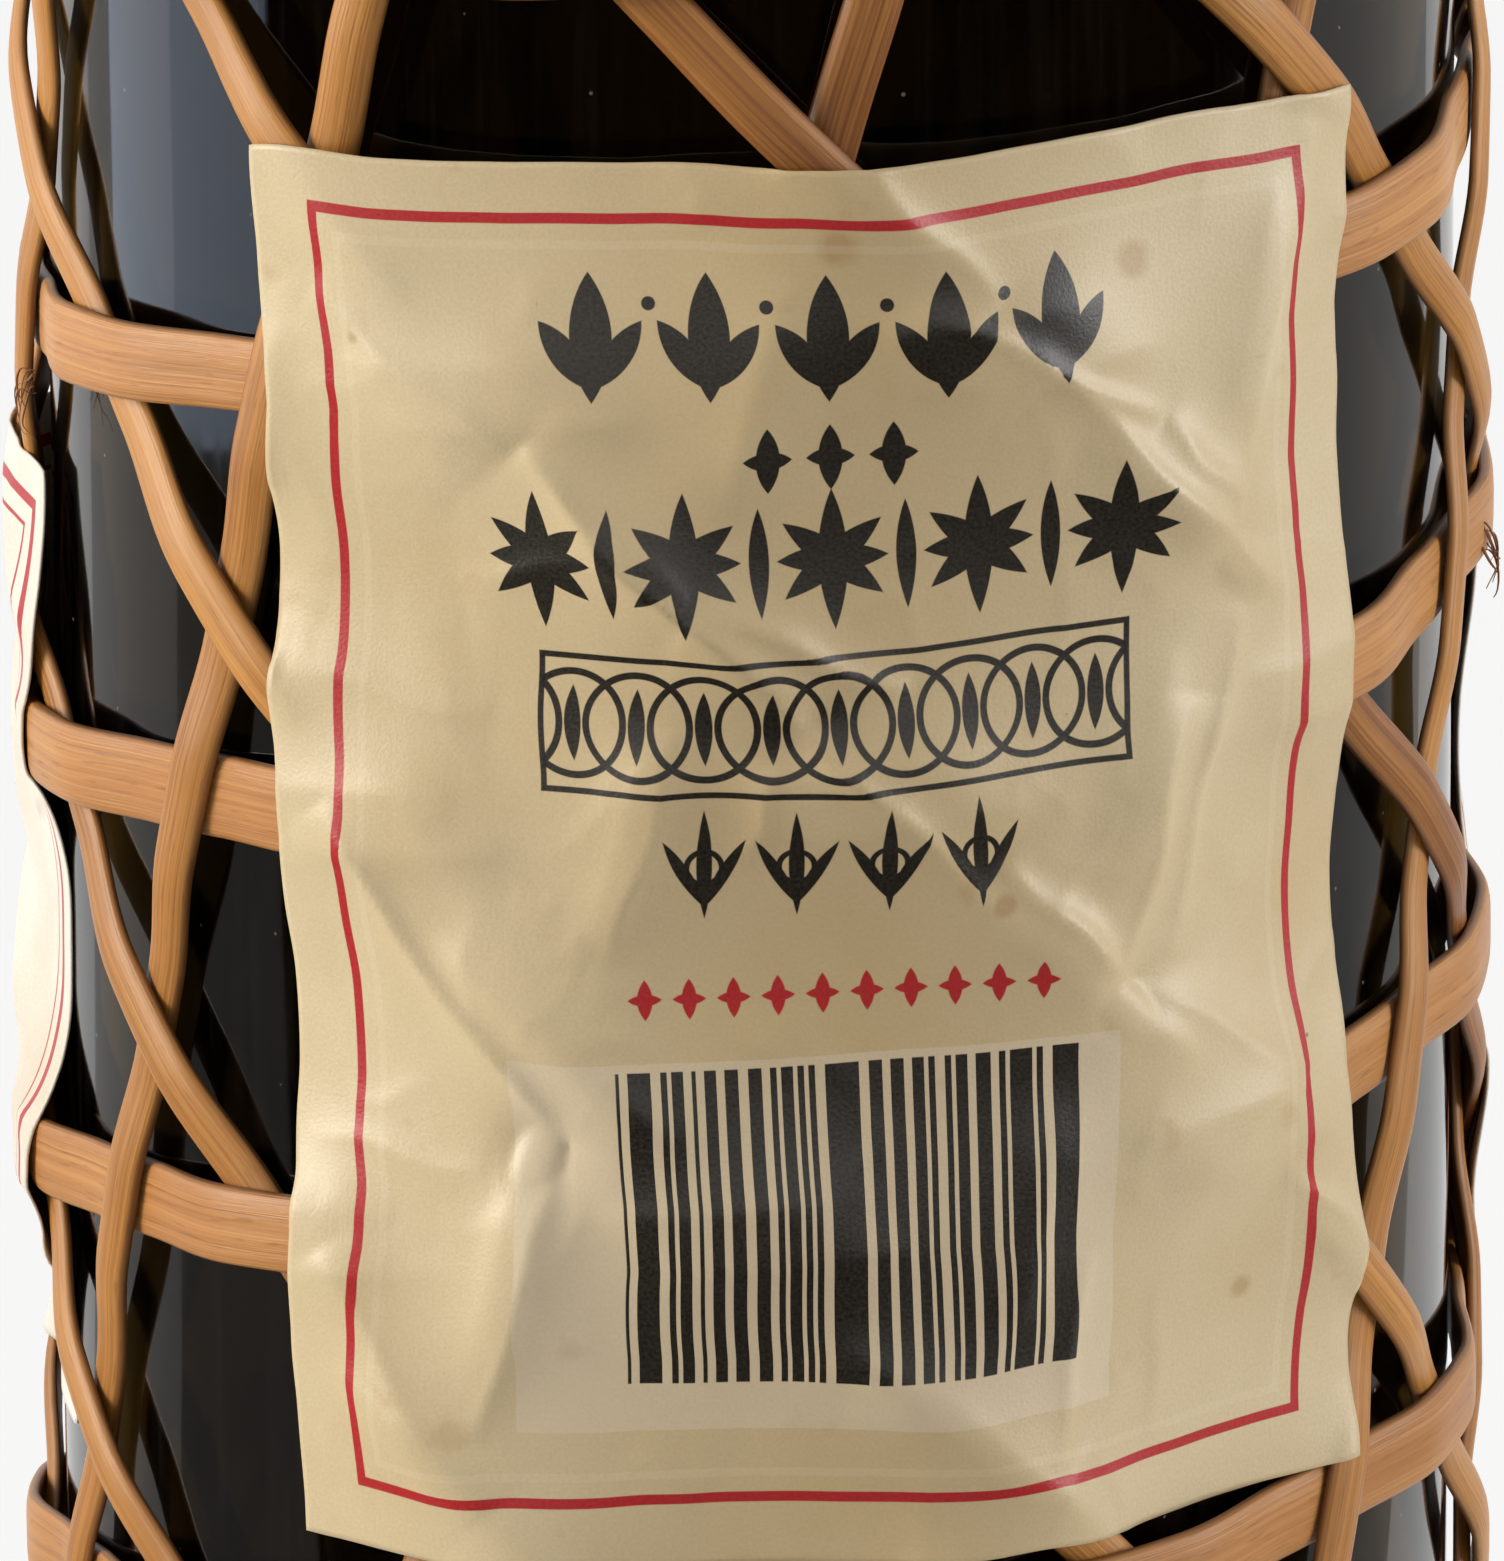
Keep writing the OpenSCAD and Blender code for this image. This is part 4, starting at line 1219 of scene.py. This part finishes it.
class BOTTLE_OT_labels(bpy.types.Operator):
    """Lay the two paper labels over the cane."""

    bl_idname = "bottle.labels"
    bl_label = "Labels"

    def execute(self, context):
        labels = context.scene.label_sizes
        back = label_sheet(
            "back_label_paper", labels.back_w, labels.back_h, labels.back_mid, labels.back_z,
            labels.back_tilt, PAPER_PRESS, BACK_FOLDS, BACK_DENTS, 3)
        dress(back, back_label_material(), "paper", "bottle", "back_label")
        width = front_width()
        front = label_sheet(
            "front_label_paper", width, labels.front_h, labels.front_mid, labels.front_z, 0.0,
            2 * PAPER_PRESS, (), (), 11)
        dress(front, front_label_material(), "paper", "bottle", "front_label")
        return {"FINISHED"}


# Stage


# The camera that the photograph was taken with: metres, degrees and pixels
CAMERA_DISTANCE = 1.2336
CAMERA_RISE = 16.675
CAMERA_ROLL = 0.275
CAMERA_FOCUS_PX = 21229.5
CAMERA_TARGET_Z = 0.076
CAMERA_SHIFT_PX = (1.35, 3.76)
PHOTO_SIZE_PX = (1504, 1561)
SENSOR_MM = 36
FLOOR_REACH = 4.0
# Share of its own light in the floor, for the rays that show the background
FLOOR_GLOW = 0.82
# Flags lie before the bottle and at its sides, out of the picture: only its dark glass reflects them
FLAG_HEIGHT = 2 * MM
FLAGS = {
    "black_flag": ("#101010", ((-0.75, -0.90), (0.75, -0.90), (0.75, -0.055), (-0.75, -0.055))),
    "grey_flag": ("#969696", ((-0.055, -0.055), (-0.055, -0.01), (-0.75, 0.22), (-0.75, -0.055))),
    "left_pale_flag": ("#E2E2E2", ((-0.055, -0.01), (-0.055, 0.03), (-0.75, 0.755), (-0.75, 0.22))),
    "right_pale_flag": (
        "#E4E4E4", ((0.06, -0.03), (0.12, 0.06), (0.52, 0.75), (0.75, 0.75), (0.75, -0.03)))}
# Lamps: place, width and height, watts and colour. The card is there only for its reflection
LAMPS = {
    "left_high_card": ((-0.17, 0.022, 0.110), (0.130, 0.10), 0.058, "#C6D8F4"),
    "key": ((-1.8, -0.36, 0.61), (0.99, 1.26), 41.0, "#FFFBF2"),
    "fill": ((1.8, -0.40, 0.54), (0.99, 1.26), 27.5, "#FFFFFF")}
LAMP_TARGET = Vector((0, 0, 0.08))
# Strength of the world where it lights the object and isn't seen
WORLD_LIGHT = 0.2


def background_rays(tree):
    """One for the rays that show the background: from the camera, off a gloss and through glass."""
    path = put(tree, "ShaderNodeLightPath")
    seen = path.outputs["Is Camera Ray"]
    for other in ("Is Glossy Ray", "Is Transmission Ray"):
        seen = put(tree, "ShaderNodeMath", {0: seen, 1: path.outputs[other]}, operation="MAXIMUM")
    return seen


class BOTTLE_OT_stage(bpy.types.Operator):
    """Set up the pale floor, the soft studio light and the camera."""

    bl_idname = "bottle.stage"
    bl_label = "Stage"

    def execute(self, context):
        scene = context.scene
        data = bpy.data.cameras.new("Camera")
        camera = bpy.data.objects.new("Camera", data)
        scene.collection.objects.link(camera)
        scene.camera = camera
        long_side = max(PHOTO_SIZE_PX)
        data.sensor_width = SENSOR_MM
        data.lens = CAMERA_FOCUS_PX * data.sensor_width / long_side
        data.shift_x = -CAMERA_SHIFT_PX[0] / long_side
        data.shift_y = CAMERA_SHIFT_PX[1] / long_side
        data.clip_start, data.clip_end = 0.1, 20
        rise = math.radians(CAMERA_RISE)
        back = Vector((0, -math.cos(rise), math.sin(rise)))
        camera.location = Vector((0, 0, CAMERA_TARGET_Z)) + back * CAMERA_DISTANCE
        aim = (-back).to_track_quat("-Z", "Y").to_matrix()
        roll = Matrix.Rotation(-math.radians(CAMERA_ROLL), 3, "Z")
        camera.rotation_euler = (aim @ roll).to_euler()
        bm = bmesh.new()
        bmesh.ops.create_grid(bm, x_segments=2, y_segments=2, size=FLOOR_REACH)
        floor = finish_mesh("studio_floor", bm, False)
        # Seamless studio paper: matt, with the object's soft shadow and nothing else on it
        material, tree = blank_material("Studio paper")
        share = put(tree, "ShaderNodeMath", {0: background_rays(tree), 1: FLOOR_GLOW}, operation="MULTIPLY")
        paper = put(tree, "ShaderNodeBsdfDiffuse", {"Color": linear(scene.bottle_colours.floor)})
        glow = put(tree, "ShaderNodeEmission", {"Color": (1, 1, 1, 1), "Strength": 1.0})
        mixed = put(tree, "ShaderNodeMixShader", {0: share, 1: paper, 2: glow})
        put(tree, "ShaderNodeOutputMaterial", {"Surface": mixed})
        floor.data.materials.append(material)
        for name, (colour, outline) in FLAGS.items():
            bm = bmesh.new()
            bm.faces.new([bm.verts.new((x, y, FLAG_HEIGHT)) for x, y in outline])
            bmesh.ops.recalc_face_normals(bm, faces=bm.faces)
            flag = finish_mesh(name, bm, False)
            # Flag cloth: quite matt, so that a reflection of it has one even tone
            felt, tree = blank_material("Flag felt, " + colour[1:])
            cloth = put(tree, "ShaderNodeBsdfDiffuse", {"Color": linear(colour)})
            put(tree, "ShaderNodeOutputMaterial", {"Surface": cloth})
            flag.data.materials.append(felt)
            flag.visible_camera = flag.visible_diffuse = False
            flag.visible_transmission = flag.visible_shadow = False
        for name, (place, size, power, colour) in LAMPS.items():
            light = bpy.data.lights.new(name, "AREA")
            light.shape = "RECTANGLE"
            light.size, light.size_y = size
            light.energy = power
            light.color = linear(colour)[:3]
            lamp = bpy.data.objects.new(name, light)
            scene.collection.objects.link(lamp)
            lamp.location = place
            towards = LAMP_TARGET - Vector(place)
            lamp.rotation_euler = towards.to_track_quat("-Z", "Y").to_euler()
            lamp.visible_camera = False
            lamp.visible_diffuse = "card" not in name
        world = bpy.data.worlds.new("Studio")
        scene.world = world
        world.use_nodes = True
        tree = world.node_tree
        tree.nodes.clear()
        level = put(tree, "ShaderNodeMapRange", {
            "Value": background_rays(tree), "To Min": WORLD_LIGHT, "To Max": 1.0})
        sky = put(tree, "ShaderNodeBackground", {"Color": (1, 1, 1, 1), "Strength": level})
        put(tree, "ShaderNodeOutputWorld", {"Surface": sky})
        scene.view_settings.view_transform = "Standard"
        return {"FINISHED"}


class BOTTLE_PT_parts(bpy.types.Panel):
    """Lists the operators that make the bottle."""

    bl_label = "Wicker wine bottle"
    bl_idname = "BOTTLE_PT_parts"
    bl_space_type = "VIEW_3D"
    bl_region_type = "UI"
    bl_category = "Bottle"

    def draw(self, context):
        for operator in OPERATORS:
            self.layout.operator(operator.bl_idname)


OPERATORS = (
    BOTTLE_OT_stage, BOTTLE_OT_glass, BOTTLE_OT_cork, BOTTLE_OT_strands, BOTTLE_OT_band, BOTTLE_OT_frays,
    BOTTLE_OT_rows, BOTTLE_OT_mat, BOTTLE_OT_labels)
GROUPS = {
    "bottle_sizes": BottleSizes, "weave_sizes": WeaveSizes, "label_sizes": LabelSizes,
    "bottle_colours": BottleColours}


def register():
    for name, group in GROUPS.items():
        bpy.utils.register_class(group)
        setattr(bpy.types.Scene, name, bpy.props.PointerProperty(type=group))
    for item in OPERATORS + (BOTTLE_PT_parts,):
        bpy.utils.register_class(item)


def unregister():
    for item in reversed(OPERATORS + (BOTTLE_PT_parts,)):
        bpy.utils.unregister_class(item)
    for name, group in GROUPS.items():
        delattr(bpy.types.Scene, name)
        bpy.utils.unregister_class(group)


def main():
    register()
    bpy.ops.bottle.stage()
    bpy.ops.bottle.glass()
    bpy.ops.bottle.cork()
    bpy.ops.bottle.strands()
    bpy.ops.bottle.band()
    bpy.ops.bottle.frays()
    bpy.ops.bottle.rows()
    bpy.ops.bottle.mat()
    bpy.ops.bottle.labels()


if __name__ == "__main__":
    main()
